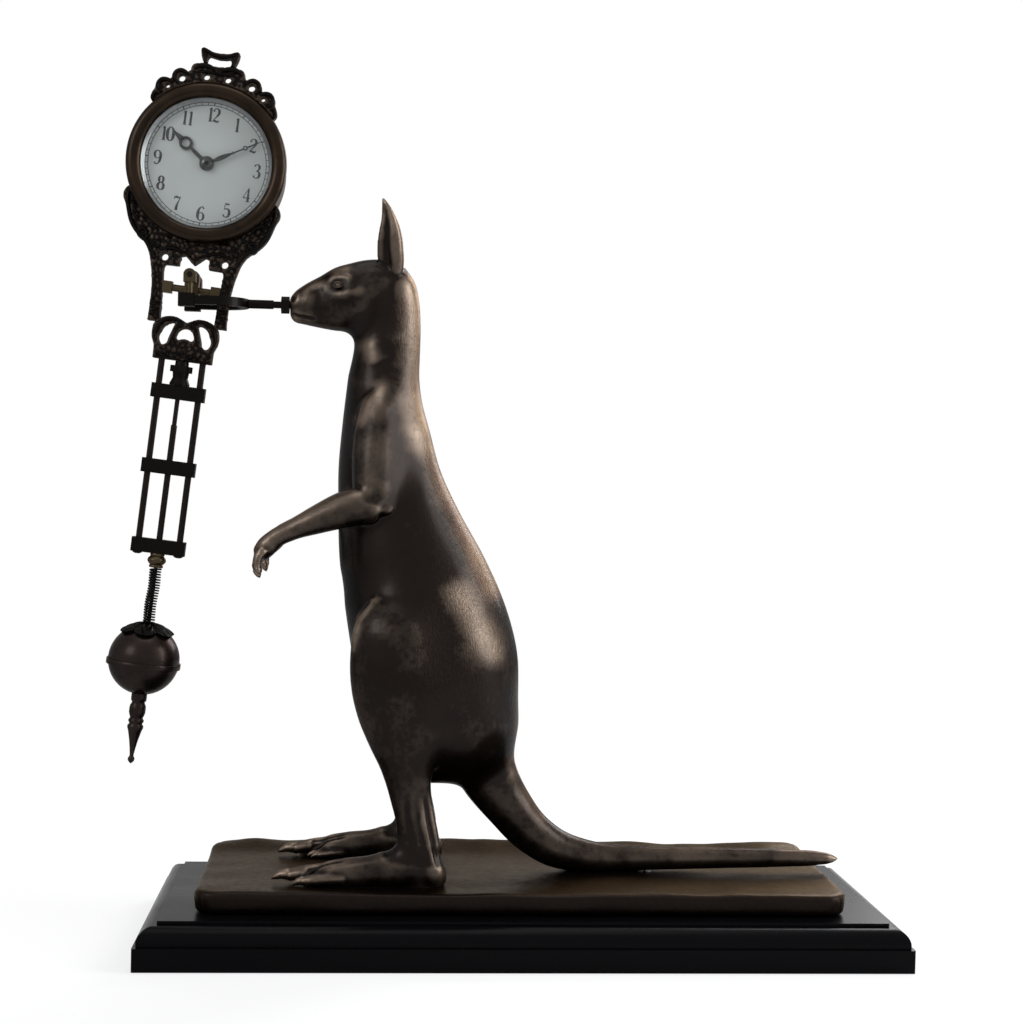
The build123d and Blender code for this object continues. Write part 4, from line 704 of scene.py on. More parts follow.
def joined(name, pieces):
    """Several objects as one."""
    bpy.ops.object.select_all(action="DESELECT")
    for piece in pieces:
        piece.select_set(True)
    bpy.context.view_layer.objects.active = pieces[0]
    bpy.ops.object.join()
    pieces[0].name = name
    return pieces[0]


# Shader sums


class Socket:
    """A shader value whose sums and products are written as plain expressions."""

    def __init__(self, shader, link):
        self.shader = shader
        self.link = link

    def __add__(self, other):
        return self.shader.math("ADD", self, other)

    def __sub__(self, other):
        return self.shader.math("SUBTRACT", self, other)

    def __rsub__(self, other):
        return self.shader.math("SUBTRACT", other, self)

    def __mul__(self, other):
        return self.shader.math("MULTIPLY", self, other)

    def __truediv__(self, other):
        return self.shader.math("DIVIDE", self, other)

    def __rtruediv__(self, other):
        return self.shader.math("DIVIDE", other, self)

    __radd__ = __add__
    __rmul__ = __mul__

    def clamped(self):
        """The value held between 0 and 1."""
        return self.shader.math("MINIMUM", self.shader.math("MAXIMUM", self, 0.0), 1.0)

    def between(self, low, high):
        """0 below low, 1 above high, and even between them."""
        return ((self - low) / (high - low)).clamped()


class Shader:
    """The nodes of a new material, or of another owner such as the world."""

    def __init__(self, name, owner=None):
        self.owner = owner or bpy.data.materials.new(name)
        self.owner.use_nodes = True
        self.tree = self.owner.node_tree
        self.tree.nodes.clear()

    def node(self, kind, settings=None, sockets=None, out=0):
        """Any node: its settings first, then the values or links of its sockets."""
        made = self.tree.nodes.new(kind)
        for name, value in (settings or {}).items():
            setattr(made, name, value)
        for name, value in (sockets or {}).items():
            target = made.inputs[name]
            if isinstance(value, Socket):
                self.tree.links.new(value.link, target)
            else:
                target.default_value = value
        return Socket(self, made.outputs[out])

    def math(self, operation, first, second):
        """A Math node on two values."""
        return self.node("ShaderNodeMath", {"operation": operation}, {0: first, 1: second})

    def mix(self, factor, first, second):
        """A blend of two colours."""
        colours = {}
        for name, value in ((6, first), (7, second)):
            colours[name] = value if isinstance(value, Socket) else (*value, 1.0)
        return self.node("ShaderNodeMix", {"data_type": "RGBA"}, {0: factor, **colours}, 2)

    def place(self):
        """The place on the object, in metres."""
        return self.node("ShaderNodeTexCoord", out=3)

    def stretched(self, stretch):
        """The place, scaled apart along X, Y and Z."""
        return self.node("ShaderNodeVectorMath", {"operation": "MULTIPLY"}, {0: self.place(), 1: stretch})

    def noise(self, scale, detail=4.0, roughness=0.55, place=None):
        """Cloudy noise, so many spots to a metre."""
        return self.node(
            "ShaderNodeTexNoise",
            None,
            {"Vector": place or self.place(), "Scale": scale, "Detail": detail, "Roughness": roughness},
        )

    def attribute(self, name):
        """A number kept on the mesh."""
        return self.node("ShaderNodeAttribute", {"attribute_name": name}, None, 2)

    def bump(self, height, distance, strength=1.0):
        """Fine relief from a height between 0 and 1."""
        return self.node(
            "ShaderNodeBump", None, {"Height": height, "Distance": distance, "Strength": strength}
        )

    def surface(self, sockets):
        """The principled surface, as the material's result."""
        return self.finish(self.node("ShaderNodeBsdfPrincipled", None, sockets))

    def finish(self, result, kind="ShaderNodeOutputMaterial"):
        """Ends the nodes with a shader."""
        output = self.tree.nodes.new(kind)
        self.tree.links.new(result.link, output.inputs["Surface"])
        return self.owner


def colour(value):
    """A colour property as a plain triple."""
    return tuple(value)[:3]


def patina(name, dark, light, roughness=0.4, grain=1.0, carved=False, fur=False, coat=0.08, edge=0.3):
    """Brown bronze: dark in the hollows, rubbed on the high places, with a fine cast grain, and lightened where
    the figure's wear attribute holds painted highlights.
    """
    shader = Shader(name)
    clouds = shader.noise(55.0, 5.0)
    mottle = shader.noise(420.0, 4.0)
    grit = shader.noise(2600.0, 3.0, 0.65)
    if carved:
        wear_and_highlight = shader.attribute("wear")
    else:
        wear_and_highlight = shader.node("ShaderNodeNewGeometry", out=7).between(0.57, 0.85)
    # Share of the light colour: wear, random clouds and mottle, and on the figure the painted highlights too
    rub_and_highlight = (wear_and_highlight * 1.15 + clouds * 0.5 + mottle * 0.3 - 1.04).clamped()
    tint = shader.mix(rub_and_highlight, dark, light)
    tint = shader.mix((mottle - 0.52).clamped() * 2.2, tint, tuple(c * 0.35 for c in dark))
    height = grit * 0.35 + mottle * 0.65
    if fur:
        strands = shader.noise(1.0, 3.0, 0.6, shader.stretched((1500.0, 1500.0, 330.0)))
        pits = shader.noise(900.0, 2.0, 0.5)
        hair = shader.attribute("fur")
        height = height * 0.5 + (strands * 1.5 + pits * 0.9) * hair
    rough = (roughness + mottle * 0.22 + clouds * 0.1 - rub_and_highlight * 0.12 - 0.1).clamped()
    return shader.surface(
        {
            "Base Color": tint,
            "Metallic": 0.95,
            "Roughness": rough,
            "Normal": shader.bump(height, 0.00028 * grain, 0.85),
            "Specular Tint": (edge, 0.9 * edge, 0.8 * edge, 1.0),
            "Specular IOR Level": 0.3,
            "Coat Weight": coat,
            "Coat Roughness": 0.24,
        }
    )


def turned_bronze(name, dark, light, roughness=0.32):
    """Warm turned bronze with a satin, slightly cloudy finish."""
    shader = Shader(name)
    clouds = shader.noise(70.0, 5.0)
    specks = shader.noise(1300.0, 3.0)
    spots = shader.noise(240.0, 5.0, 0.7)
    tint = shader.mix((clouds * 1.3 - 0.2).clamped(), dark, light)
    tint = shader.mix(spots.between(0.58, 0.72) * 0.75, tint, tuple(c * 0.3 for c in dark))
    rough = (roughness + specks * 0.12 + spots * 0.16 - 0.12).clamped()
    return shader.surface(
        {
            "Base Color": tint,
            "Metallic": 0.9,
            "Roughness": rough,
            "Normal": shader.bump(specks * 0.6 + spots * 0.4, 0.00005, 0.7),
            "Specular Tint": (0.4, 0.34, 0.3, 1.0),
            "Coat Weight": 0.1,
            "Coat Roughness": 0.2,
        }
    )


def lacquer(name, tint):
    """Black gloss lacquer on wood, with a faint grain under it and dust on it."""
    shader = Shader(name)
    grain = shader.noise(1.0, 5.0, 0.6, shader.stretched((9.0, 260.0, 260.0)))
    dust = shader.noise(2100.0, 2.0)
    haze = shader.noise(30.0, 4.0)
    base = shader.mix(dust.between(0.68, 0.8) * 0.2, tint, (0.03, 0.028, 0.026))
    rough = (0.16 + haze * 0.2 + grain * 0.06).clamped()
    return shader.surface(
        {
            "Base Color": base,
            "Roughness": rough,
            "Normal": shader.bump(grain * 0.7 + haze * 0.3, 0.00006, 0.6),
            "Specular IOR Level": 0.04,
        }
    )


def painted(name, tint, roughness=0.35, speck=0.3):
    """Smooth paint or enamel with a faint unevenness."""
    shader = Shader(name)
    clouds = shader.noise(90.0, 4.0)
    specks = shader.noise(1900.0, 3.0)
    base = shader.mix((clouds - 0.3).clamped() * 0.4, tint, tuple(c * 0.86 for c in tint))
    base = shader.mix(specks.between(0.6, 0.75) * speck, base, tuple(c * 0.7 for c in tint))
    return shader.surface(
        {
            "Base Color": base,
            "Roughness": (roughness + clouds * 0.12 - 0.05).clamped(),
            "Normal": shader.bump(specks, 0.00002, 0.5),
        }
    )


def cut_metal(name, tint, roughness=0.3, metal=1.0):
    """Bright cut metal with fine tool lines."""
    shader = Shader(name)
    lines = shader.noise(1.0, 2.0, 0.5, shader.stretched((4200.0, 240.0, 4200.0)))
    clouds = shader.noise(120.0, 4.0)
    base = shader.mix((clouds * 1.2 - 0.2).clamped(), tint, tuple(c * 0.7 for c in tint))
    return shader.surface(
        {
            "Base Color": base,
            "Metallic": metal,
            "Roughness": (roughness + lines * 0.14 + clouds * 0.1 - 0.1).clamped(),
            "Normal": shader.bump(lines, 0.00002, 0.5),
        }
    )


def felt(name, tint):
    """Short-haired felt."""
    shader = Shader(name)
    hairs = shader.noise(2400.0, 5.0, 0.7)
    clouds = shader.noise(160.0, 3.0)
    base = shader.mix(hairs, tuple(c * 0.6 for c in tint), tuple(min(1.0, c * 1.7) for c in tint))
    return shader.surface(
        {
            "Base Color": base, "Roughness": (0.85 + clouds * 0.12).clamped(),
            "Normal": shader.bump(hairs, 0.0003, 0.8),
        }
    )


def clear_glass(name):
    """Thin clear glass that lets lamp light through to the dial."""
    shader = Shader(name)
    smears = shader.noise(45.0, 4.0)
    glass = shader.node(
        "ShaderNodeBsdfPrincipled",
        None,
        {
            "Base Color": (0.97, 0.985, 0.98, 1.0),
            "Roughness": (smears * 0.05).clamped(),
            "Transmission Weight": 1.0,
            "IOR": 1.2,
        },
    )
    through = shader.node("ShaderNodeBsdfTransparent", None, {"Color": (0.97, 0.985, 0.98, 1.0)})
    shadow = shader.node("ShaderNodeLightPath", out=1)
    return shader.finish(shader.node("ShaderNodeMixShader", None, {0: shadow, 1: glass, 2: through}))


def wear(obj, *materials):
    """Gives an object its materials."""
    obj.data.materials.clear()
    for material in materials:
        obj.data.materials.append(material)


# The sizes and colours that a user would change


def metal_colour(name, description, default):
    """A colour property of a metal."""
    return bpy.props.FloatVectorProperty(
        name=name, description=description, subtype="COLOR", size=3, min=0.0, max=1.0, default=default
    )


class FigureSettings(bpy.types.PropertyGroup):
    """Modelling and patina of the kangaroo, and patina of the ground"""

    voxel: bpy.props.FloatProperty(
        name="Modelling step", description="Edge of the skin's squares", default=0.85 * mm, min=0.3 * mm,
        unit="LENGTH"
    )
    smoothing: bpy.props.IntProperty(
        name="Smoothing", description="Passes that soften the joins of the forms", default=5, min=0
    )
    join_passes: bpy.props.IntProperty(
        name="Join passes", description="Passes that run the forms into each other at their joins",
        default=220, min=0
    )
    dark: metal_colour("Patina", "Bronze in the hollows", (0.0078, 0.0049, 0.0038))
    # The rubbed colour also paints the figure's highlights along its highlight lines
    light: metal_colour("Rubbed bronze", "Bronze on the high places", (0.19, 0.145, 0.112))


class GroundSettings(bpy.types.PropertyGroup):
    """Shape of the ground slab"""

    edge: bpy.props.FloatProperty(
        name="Edge", description="Rounding of the slab's edges", default=2.6 * mm, min=0.5 * mm, unit="LENGTH"
    )
    waves: bpy.props.FloatProperty(
        name="Waves", description="Height of the waves in its top", default=0.9 * mm, min=0.0, unit="LENGTH"
    )
    bank: bpy.props.FloatProperty(
        name="Bank", description="Rise of the ground along its back edge", default=3.0 * mm, min=0.0,
        unit="LENGTH"
    )


class ClockSettings(bpy.types.PropertyGroup):
    """Colours of the hanging clock, and its numerals"""

    frame_dark: metal_colour("Frame patina", "Bronze in the castings' hollows", (0.0042, 0.0031, 0.0027))
    frame_light: metal_colour("Frame rubbed", "Bronze on the castings' edges", (0.06, 0.042, 0.03))
    bezel_dark: metal_colour("Bezel dark", "Dark clouds in the bezel", (0.0045, 0.0026, 0.0015))
    bezel_light: metal_colour("Bezel light", "Bright clouds in the bezel", (0.026, 0.0155, 0.0085))
    ball_dark: metal_colour("Ball dark", "Dark clouds on the ball", (0.0035, 0.0026, 0.0028))
    ball_light: metal_colour("Ball light", "Bright clouds on the ball", (0.026, 0.017, 0.014))
    brass: metal_colour("Worn brass", "Nuts, hanger and bead", (0.07, 0.052, 0.026))
    dial: metal_colour("Dial", "Enamel of the dial", (0.255, 0.27, 0.267))
    ink: metal_colour("Ink", "Numerals and minute track", (0.006, 0.006, 0.007))
    numeral_height: bpy.props.FloatProperty(
        name="Numerals", description="Height of the numerals", default=6.1 * mm, min=1 * mm, unit="LENGTH"
    )
    numeral_circle: bpy.props.FloatProperty(
        name="Numeral circle", description="Radius that the numerals stand on", default=22.2 * mm, min=5 * mm,
        unit="LENGTH"
    )


class StageSettings(bpy.types.PropertyGroup):
    """Floor and lamps"""

    floor: metal_colour("Floor", "Colour of the floor", (0.93, 0.93, 0.93))
    key_power: bpy.props.FloatProperty(
        name="Key lamp", description="Power of the large lamp", default=13.0, min=0.0,
    )


# Strokes of the numerals: X, Y and half thickness, in shares of a numeral's height
digit_stroke_shares = {
    "0": [[
        (0.23 * cos(a), 0.5 + 0.5 * sin(a), 0.022 + 0.05 * abs(cos(a)) ** 1.5)
        for a in [2 * pi * i / 16 for i in range(17)]
    ]],
    "1": [
        [(0.02, 1.0, 0.05), (0.02, 0.0, 0.055)], [(-0.13, 0.85, 0.012), (0.02, 0.985, 0.03)],
        [(-0.12, 0.012, 0.018), (0.16, 0.012, 0.018)],
    ],
    "2": [
        [
            (-0.17, 0.75, 0.055), (-0.18, 0.87, 0.03), (-0.08, 0.98, 0.022), (0.06, 0.98, 0.03),
            (0.19, 0.86, 0.055), (0.19, 0.68, 0.06), (0.07, 0.44, 0.035), (-0.12, 0.2, 0.022),
            (-0.22, 0.04, 0.02),
        ],
        [
            (-0.22, 0.05, 0.02), (-0.06, 0.08, 0.05), (0.12, 0.03, 0.045), (0.21, 0.07, 0.025),
            (0.24, 0.18, 0.015),
        ],
    ],
    "3": [
        [
            (-0.16, 0.84, 0.05), (-0.13, 0.94, 0.028), (0.0, 1.0, 0.022), (0.14, 0.93, 0.045),
            (0.18, 0.78, 0.055), (0.12, 0.6, 0.03), (-0.04, 0.53, 0.016),
        ],
        [
            (-0.04, 0.53, 0.016), (0.12, 0.49, 0.035), (0.22, 0.3, 0.062), (0.16, 0.08, 0.045),
            (0.0, 0.0, 0.022), (-0.15, 0.05, 0.028), (-0.19, 0.17, 0.052),
        ],
    ],
    "4": [
        [(0.1, 1.0, 0.035), (0.1, 0.0, 0.052)], [(0.1, 1.0, 0.016), (-0.26, 0.29, 0.016)],
        [(-0.26, 0.28, 0.022), (0.26, 0.28, 0.022)], [(-0.04, 0.012, 0.018), (0.22, 0.012, 0.018)],
    ],
    "5": [
        [(-0.13, 1.0, 0.02), (0.05, 0.95, 0.045), (0.19, 0.99, 0.02)],
        [(-0.13, 1.0, 0.018), (-0.16, 0.54, 0.018)],
        [
            (-0.16, 0.54, 0.018), (0.0, 0.63, 0.025), (0.16, 0.54, 0.05), (0.22, 0.32, 0.062),
            (0.15, 0.08, 0.045), (-0.02, 0.0, 0.022), (-0.16, 0.06, 0.028), (-0.19, 0.18, 0.05),
        ],
    ],
    "6": [
        [
            (0.17, 0.86, 0.045), (0.12, 0.97, 0.028), (0.0, 0.99, 0.022), (-0.15, 0.82, 0.045),
            (-0.22, 0.5, 0.065), (-0.2, 0.2, 0.055), (-0.1, 0.03, 0.028), (0.03, 0.0, 0.022),
            (0.17, 0.1, 0.045), (0.21, 0.3, 0.055), (0.14, 0.5, 0.035), (0.02, 0.57, 0.02),
            (-0.12, 0.5, 0.018), (-0.2, 0.36, 0.015),
        ]
    ],
    "7": [
        [
            (-0.21, 0.8, 0.016), (-0.19, 0.94, 0.03), (-0.06, 0.98, 0.05), (0.08, 0.93, 0.035),
            (0.23, 1.0, 0.016),
        ],
        [(0.23, 1.0, 0.016), (0.09, 0.62, 0.03), (0.0, 0.32, 0.055), (-0.02, 0.0, 0.065)],
    ],
    "8": [
        [
            (0.16 * cos(a), 0.76 + 0.235 * sin(a), 0.02 + 0.035 * abs(cos(a)) ** 1.5)
            for a in [2 * pi * i / 14 for i in range(15)]
        ],
        [
            (0.215 * cos(a), 0.265 + 0.262 * sin(a), 0.02 + 0.042 * abs(cos(a)) ** 1.5)
            for a in [2 * pi * i / 14 for i in range(15)]
        ],
    ],
}
digit_stroke_shares["9"] = [[(-x, 1 - y, w) for x, y, w in stroke] for stroke in digit_stroke_shares["6"]]
DIGIT_STEP_SHARE = 0.48
NARROW_STEP_SHARE = 0.42
BOLD_SHARE = 1.6


def add_stroke(shape, stroke, place, scale, front, depth):
    """One brush stroke as a thin raised ribbon that faces -Y; place moves its points on the dial."""
    rows = spread(stroke, 5)
    left, right = [], []
    for i, (x, y, half) in enumerate(rows):
        ahead = rows[min(i + 1, len(rows) - 1)] - rows[max(i - 1, 0)]
        length = max(1e-9, sqrt(ahead[0] ** 2 + ahead[1] ** 2))
        across = (-ahead[1] / length * half, ahead[0] / length * half)
        left.append((x + across[0], y + across[1]))
        right.append((x - across[0], y - across[1]))
    points = []
    for face_y in (front - depth, front):
        for x, y in left + right:
            points.append(HANGING @ Vector((place[0] + x * scale, face_y, place[1] + y * scale)))
    n = len(rows)
    faces = [(0, n, 3 * n, 2 * n), (n - 1, 3 * n - 1, 4 * n - 1, 2 * n - 1)]
    for i in range(n - 1):
        faces.append((i, i + 1, n + i + 1, n + i))
        faces.append((2 * n + i, 3 * n + i, 3 * n + i + 1, 2 * n + i + 1))
        faces.append((i + 1, i, 2 * n + i, 2 * n + i + 1))
        faces.append((n + i, n + i + 1, 3 * n + i + 1, 3 * n + i))
    shape.add(points, faces)


def dial_place():
    """Centre and front of the dial in the hanging clock's frame."""
    low, high = hanging_box("dial")
    return (low.x + high.x) / 2, low.y, (low.z + high.z) / 2


def add_print_ring(shape, centre, inner, outer, front, depth, segments=180):
    """A thin flat ring printed on the dial."""
    profile = [(inner, front), (inner, front - depth), (outer, front - depth), (outer, front)]
    place = HANGING @ Matrix.Translation((centre[0], 0, centre[2]))
    shape.turned(profile, place, "Y", segments, closed=True)


def make_print(settings):
    """Numerals and minute track."""
    centre = dial_place()
    front, depth = centre[1], 0.03 * mm
    shape = Shape()
    track_inner, track_outer, line = 26.3 * mm, 27.6 * mm, 0.16 * mm
    for radius in (track_inner, track_outer):
        add_print_ring(shape, centre, radius - line, radius + line, front, depth)
    for minute in range(60):
        angle = 2 * pi * minute / 60
        half = 0.26 * mm if minute % 5 == 0 else 0.14 * mm
        ahead = (sin(angle), cos(angle))
        start = (centre[0] + ahead[0] * track_inner, centre[2] + ahead[1] * track_inner)
        run = track_outer - track_inner + (0.45 * mm if minute % 5 == 0 else 0.0)
        stroke = [(0, 0, half), (ahead[0] * run, ahead[1] * run, half)]
        add_stroke(shape, stroke, start, 1.0, front, depth)
    size = settings.numeral_height
    for hour in range(1, 13):
        angle = 2 * pi * hour / 12
        text = str(hour)
        x = centre[0] + sin(angle) * settings.numeral_circle
        z = centre[2] + cos(angle) * settings.numeral_circle - size / 2
        step = (NARROW_STEP_SHARE if hour in (11, 12) else DIGIT_STEP_SHARE) * size
        x -= step * (len(text) - 1) / 2
        for i, digit in enumerate(text):
            for stroke in digit_stroke_shares[digit]:
                bold = [(across, up, half * BOLD_SHARE) for across, up, half in stroke]
                add_stroke(shape, bold, (x + step * i, z), size, front, depth)
    return shape.build("dial_print", smooth=False)


# Strokes of the hands: place along, place across and half width, in shares of a hand's length
hour_hand_shares = (
    ((0.0, 0.0, 0.05), (0.25, 0.0, 0.042), (0.48, 0.0, 0.034)),
    tuple((0.61 - 0.115 * cos(2 * pi * i / 16), 0.11 * sin(2 * pi * i / 16), 0.032) for i in range(17)),
    ((0.72, 0.0, 0.06), (0.79, 0.0, 0.055), (0.9, 0.0, 0.032), (1.0, 0.0, 0.006)),
)
minute_hand_shares = (
    (
        (0.0, 0.0, 0.02), (0.1, 0.0, 0.02), (0.2, 0.0, 0.036), (0.3, 0.0, 0.04), (0.4, 0.0, 0.026),
        (0.47, 0.0, 0.012),
    ),
    ((0.48, -0.034, 0.01), (0.48, 0.034, 0.01)),
    ((0.47, 0.0, 0.013), (0.67, 0.0, 0.012)),
    tuple((0.705 - 0.03 * cos(2 * pi * i / 12), 0.03 * sin(2 * pi * i / 12), 0.011) for i in range(13)),
    ((0.735, 0.0, 0.014), (0.86, 0.0, 0.012), (1.0, 0.0, 0.004)),
)


def make_hand(node, name, hub, strokes):
    """A hand cut from thin sheet: its hub, and its strokes."""
    low, high = hanging_box(node)
    back = HANGING.inverted()
    centre = back @ Vector(JOINTS["minute_turn"]["pos_m"])
    ahead = Vector((0, 0, 0))
    for vertex in NODES[node].data.vertices:
        place = back @ vertex.co
        run = Vector((place.x - centre.x, 0, place.z - centre.z))
        if run.length > ahead.length:
            ahead = run
    shape = Shape()
    for stroke in strokes:
        rows = []
        for along, across, half in stroke:
            x = ahead.x * along + ahead.z * across
            z = ahead.z * along - ahead.x * across
            rows.append((x, z, half * ahead.length))
        add_stroke(shape, rows, (centre.x, centre.z), 1.0, high.y, high.y - low.y)
    disc = [(0.5 * mm, high.y), (0.5 * mm, low.y), (hub, low.y), (hub, high.y)]
    shape.turned(disc, HANGING @ Matrix.Translation((centre.x, 0, centre.z)), "Y", 48, closed=True)
    return shape.build(name, smooth=False)


def arc_points(centre, radius, start, end, count):
    """Points on an arc, angles in degrees."""
    angles = [radians(start + (end - start) * i / (count - 1)) for i in range(count)]
    return [(centre[0] + radius * cos(angle), centre[1] + radius * sin(angle)) for angle in angles]


def make_bezel():
    """The bezel: one broad roll round the glass, and the skirt behind it."""
    low, high = hanging_box("bezel")
    centre = ((low.x + high.x) / 2, (low.z + high.z) / 2)
    outer = (high.x - low.x) / 2
    front, back = low.y, high.y
    roll_width, roll_depth = 6.6 * mm, 2.7 * mm
    glass_seat, shoulder = front + 3.4 * mm, front + 4.9 * mm
    skirt, bore = 34.05 * mm, 31.8 * mm
    opening = outer - roll_width
    half = (outer - opening) / 2
    profile = [(opening, glass_seat)]
    for x, y in arc_points((0, 0), 1.0, 180, 360, 28):
        profile.append((opening + half * (1 + x), front + roll_depth * (1 + y)))
    profile += [(outer, back - 0.5 * mm), (outer - 0.4 * mm, back)]
    profile += [(skirt, back), (skirt, shoulder), (bore, shoulder), (bore, glass_seat)]
    shape = Shape()
    shape.turned(profile, HANGING @ Matrix.Translation((centre[0], 0, centre[1])), "Y", 144, closed=True)
    return shape.build("bezel_turning", sharp_angle=radians(40))


def make_glass():
    """The domed glass, smooth over the whole dial."""
    low, high = hanging_box("dome_glass")
    centre = ((low.x + high.x) / 2, (low.z + high.z) / 2)
    radius, thickness = (high.x - low.x) / 2, 1.0 * mm
    reach, rise = 29.4 * mm, high.y - low.y - thickness
    dome = (reach**2 + rise**2) / (2 * rise)
    profile = []
    for i in range(25):
        r = max(reach * i / 24, 0.02 * mm)
        profile.append((r, low.y + dome - sqrt(dome**2 - r**2)))
    profile += [(radius, high.y - thickness), (radius, high.y)]
    profile += [(r, y + thickness) for r, y in profile[24::-1]]
    shape = Shape()
    shape.turned(profile, HANGING @ Matrix.Translation((centre[0], 0, centre[1])), "Y", 96)
    return shape.build("glass_dome", sharp_angle=radians(40))


# Radius of the flat at each pole of the ball
BALL_FLAT = 3.3 * mm


def ball_round():
    """Radius of the ball, and the height of its centre in the hanging clock's frame."""
    low, high = hanging_box("ball_lower_half")
    radius = (high.x - low.x) / 2
    return radius, low.z + sqrt(radius**2 - BALL_FLAT**2)


def make_ball(upper):
    """One half of the ball with a true round, and the rolled lip on the upper one."""
    radius, centre = ball_round()
    joint = hanging_box("ball_lower_half")[1].z
    upper_low, upper_high = hanging_box("ball_upper_half")
    lip = (upper_high.x - upper_low.x) / 2 - 0.08 * mm
    shape = Shape()
    bore = 0.93 * mm
    joint_angle = np.arcsin((joint - centre) / radius)
    pole = np.arccos(BALL_FLAT / radius)
    if upper:
        lip_half = 1.3 * mm
        start = np.arcsin((joint + lip_half - centre) / radius)
        overlap, clearance = 0.05 * mm, 0.04 * mm
        profile = [
            (bore, joint + overlap), (radius + clearance, joint + overlap),
            (radius + clearance, joint - lip_half),
        ]
        profile += [(lip - 0.15 * mm, joint - lip_half), (lip, joint - lip_half * 0.75)]
        profile += [(lip, joint + lip_half * 0.75), (lip - 0.2 * mm, joint + lip_half)]
        profile += [(radius * cos(a), centre + radius * sin(a)) for a in np.linspace(start, pole, 22)]
        profile += [(bore, centre + radius * sin(pole))]
    else:
        profile = [(bore, centre - radius * sin(pole))]
        profile += [(radius * cos(a), centre + radius * sin(a)) for a in np.linspace(-pole, joint_angle, 24)]
        profile += [(bore, joint)]
    shape.turned(profile, HANGING, "Z", 96, closed=True)
    return shape.build("ball_half_upper" if upper else "ball_half_lower", sharp_angle=radians(35))


def make_leaves():
    """The leaf rosette on the ball: overlapping pointed leaves with raised midribs."""
    high = hanging_box("leaf_cap")[1]
    radius, centre = ball_round()
    lobes, reach, hole = 6, 11.4 * mm, 1.0 * mm
    steps, around = 18, 168

    def ring(t, above):
        """One ring of the leaves, on their upper side or against the ball."""
        made = []
        for j in range(around):
            spin = 2 * pi * j / around
            across = 2 * ((lobes * j / around) % 1) - 1
            lobe = sqrt(1 - across**2)
            out = hole + (reach * (0.76 + 0.24 * lobe) - hole) * t
            lift = 0.03 * mm
            if above:
                lift = (0.45 + 0.85 * lobe + 0.45 * t**3 + 0.16 * sin(9 * abs(across) + 13 * t)) * mm
                lift -= 0.3 * mm * np.exp(-((across / 0.1) ** 2)) * (1 - t)
            angle = np.arccos(out / radius)
            r, z = (radius + lift) * cos(angle), (radius + lift) * sin(angle)
            made.append(HANGING @ Vector((r * cos(spin), r * sin(spin), centre + z)))
        return made

    rows = [ring(step / steps, True) for step in range(steps + 1)]
    rows += [ring(step / steps, False) for step in range(steps, -1, -6)]
    shape = Shape()
    shape.rings(rows + rows[:1], capped=False)
    collar = [(1.0 * mm, high.z - 1.1 * mm), (2.7 * mm, high.z - 1.1 * mm), (3.1 * mm, high.z - 0.7 * mm)]
    collar += [(2.7 * mm, high.z - 0.2 * mm), (2.0 * mm, high.z), (1.0 * mm, high.z)]
    shape.turned(collar, HANGING, "Z", 40, closed=True)
    return shape.build("leaf_rosette", sharp_angle=radians(50))


finial_shares = (
    (0.3, 0.0), (0.93, 0.0), (0.95, 0.05), (0.93, 0.1), (0.78, 0.115), (0.8, 0.14), (0.95, 0.17), (1.0, 0.21),
    (0.99, 0.27), (
        0.88, 0.315,
    ), (0.78, 0.34), (0.8, 0.36), (0.93, 0.375), (0.93, 0.4), (0.8, 0.42), (0.82, 0.44),
    (0.97, 0.46), (0.96, 0.49), (0.8, 0.54), (0.55, 0.66), (0.36, 0.78), (
        0.24, 0.875,
    ), (0.26, 0.895), (0.4, 0.925),
    (0.42, 0.945), (0.34, 0.965), (0.16, 0.99), (0.02, 1.0),
)
ferrule_shares = (
    (0.24, 0.0), (0.74, 0.0), (
        0.77, 0.06,
    ), (0.76, 0.15), (0.7, 0.19), (0.82, 0.26), (0.95, 0.36), (1.0, 0.48),
    (0.95, 0.6), (0.82, 0.72), (0.68, 0.79), (0.74, 0.85), (0.75, 0.96), (0.7, 1.0), (0.24, 1.0),
)


def make_turning(node, name, shares):
    """A turned piece in the place and size of its node, from shares of its radius and of its length."""
    low, high = hanging_box(node)
    radius, length = (high.x - low.x) / 2, high.z - low.z
    shape = Shape()
    shape.turned([(r * radius, high.z - t * length) for r, t in shares], HANGING, "Z", 64, closed=False)
    return shape.build(name, sharp_angle=radians(60))


def make_spring():
    """The round wire of the coil spring, with its slight sway."""
    low, high = hanging_box("coil_spring")
    wire, turns = 0.42 * mm, 20
    coil = 2.8 * mm - wire
    run = high.z - low.z - 2 * wire
    path = []
    steps = turns * 20
    for i in range(steps + 1):
        t = i / steps
        angle = 2 * pi * turns * t
        sway = 0.35 * mm * sin(2 * pi * t) * sin(pi * t)
        path.append(HANGING @ Vector((coil * cos(angle) + sway, coil * sin(angle), high.z - wire - run * t)))
    shape = Shape()
    shape.tube(path, [wire] * len(path), 10, across=UPRIGHT)
    return shape.build("round_wire_spring")


def rounded_box(low, high, radius, step):
    """A box of even squares, its edges rounded."""
    size = [high[i] - low[i] for i in range(3)]
    counts = [max(2, int(round(s / step))) for s in size]
    points, faces, index = [], [], {}

    def at(i, j, k):
        key = (i, j, k)
        if key not in index:
            index[key] = len(points)
            points.append([low[n] + size[n] * key[n] / counts[n] for n in range(3)])
        return index[key]

    for axis in range(3):
        a, b = [n for n in range(3) if n != axis]
        for end in (0, counts[axis]):
            for i in range(counts[a]):
                for j in range(counts[b]):
                    face = []
                    for di, dj in ((0, 0), (1, 0), (1, 1), (0, 1)):
                        key = [0, 0, 0]
                        key[axis], key[a], key[b] = end, i + di, j + dj
                        face.append(at(*key))
                    faces.append(face)
    points = np.array(points)
    core_low = np.array(low) + radius
    core_high = np.array(high) - radius
    core = np.clip(points, core_low, core_high)
    away = points - core
    length = np.linalg.norm(away, axis=1)
    reach = np.where(length > 0, radius / np.maximum(length, 1e-9), 0)
    return core + away * reach[:, None], faces


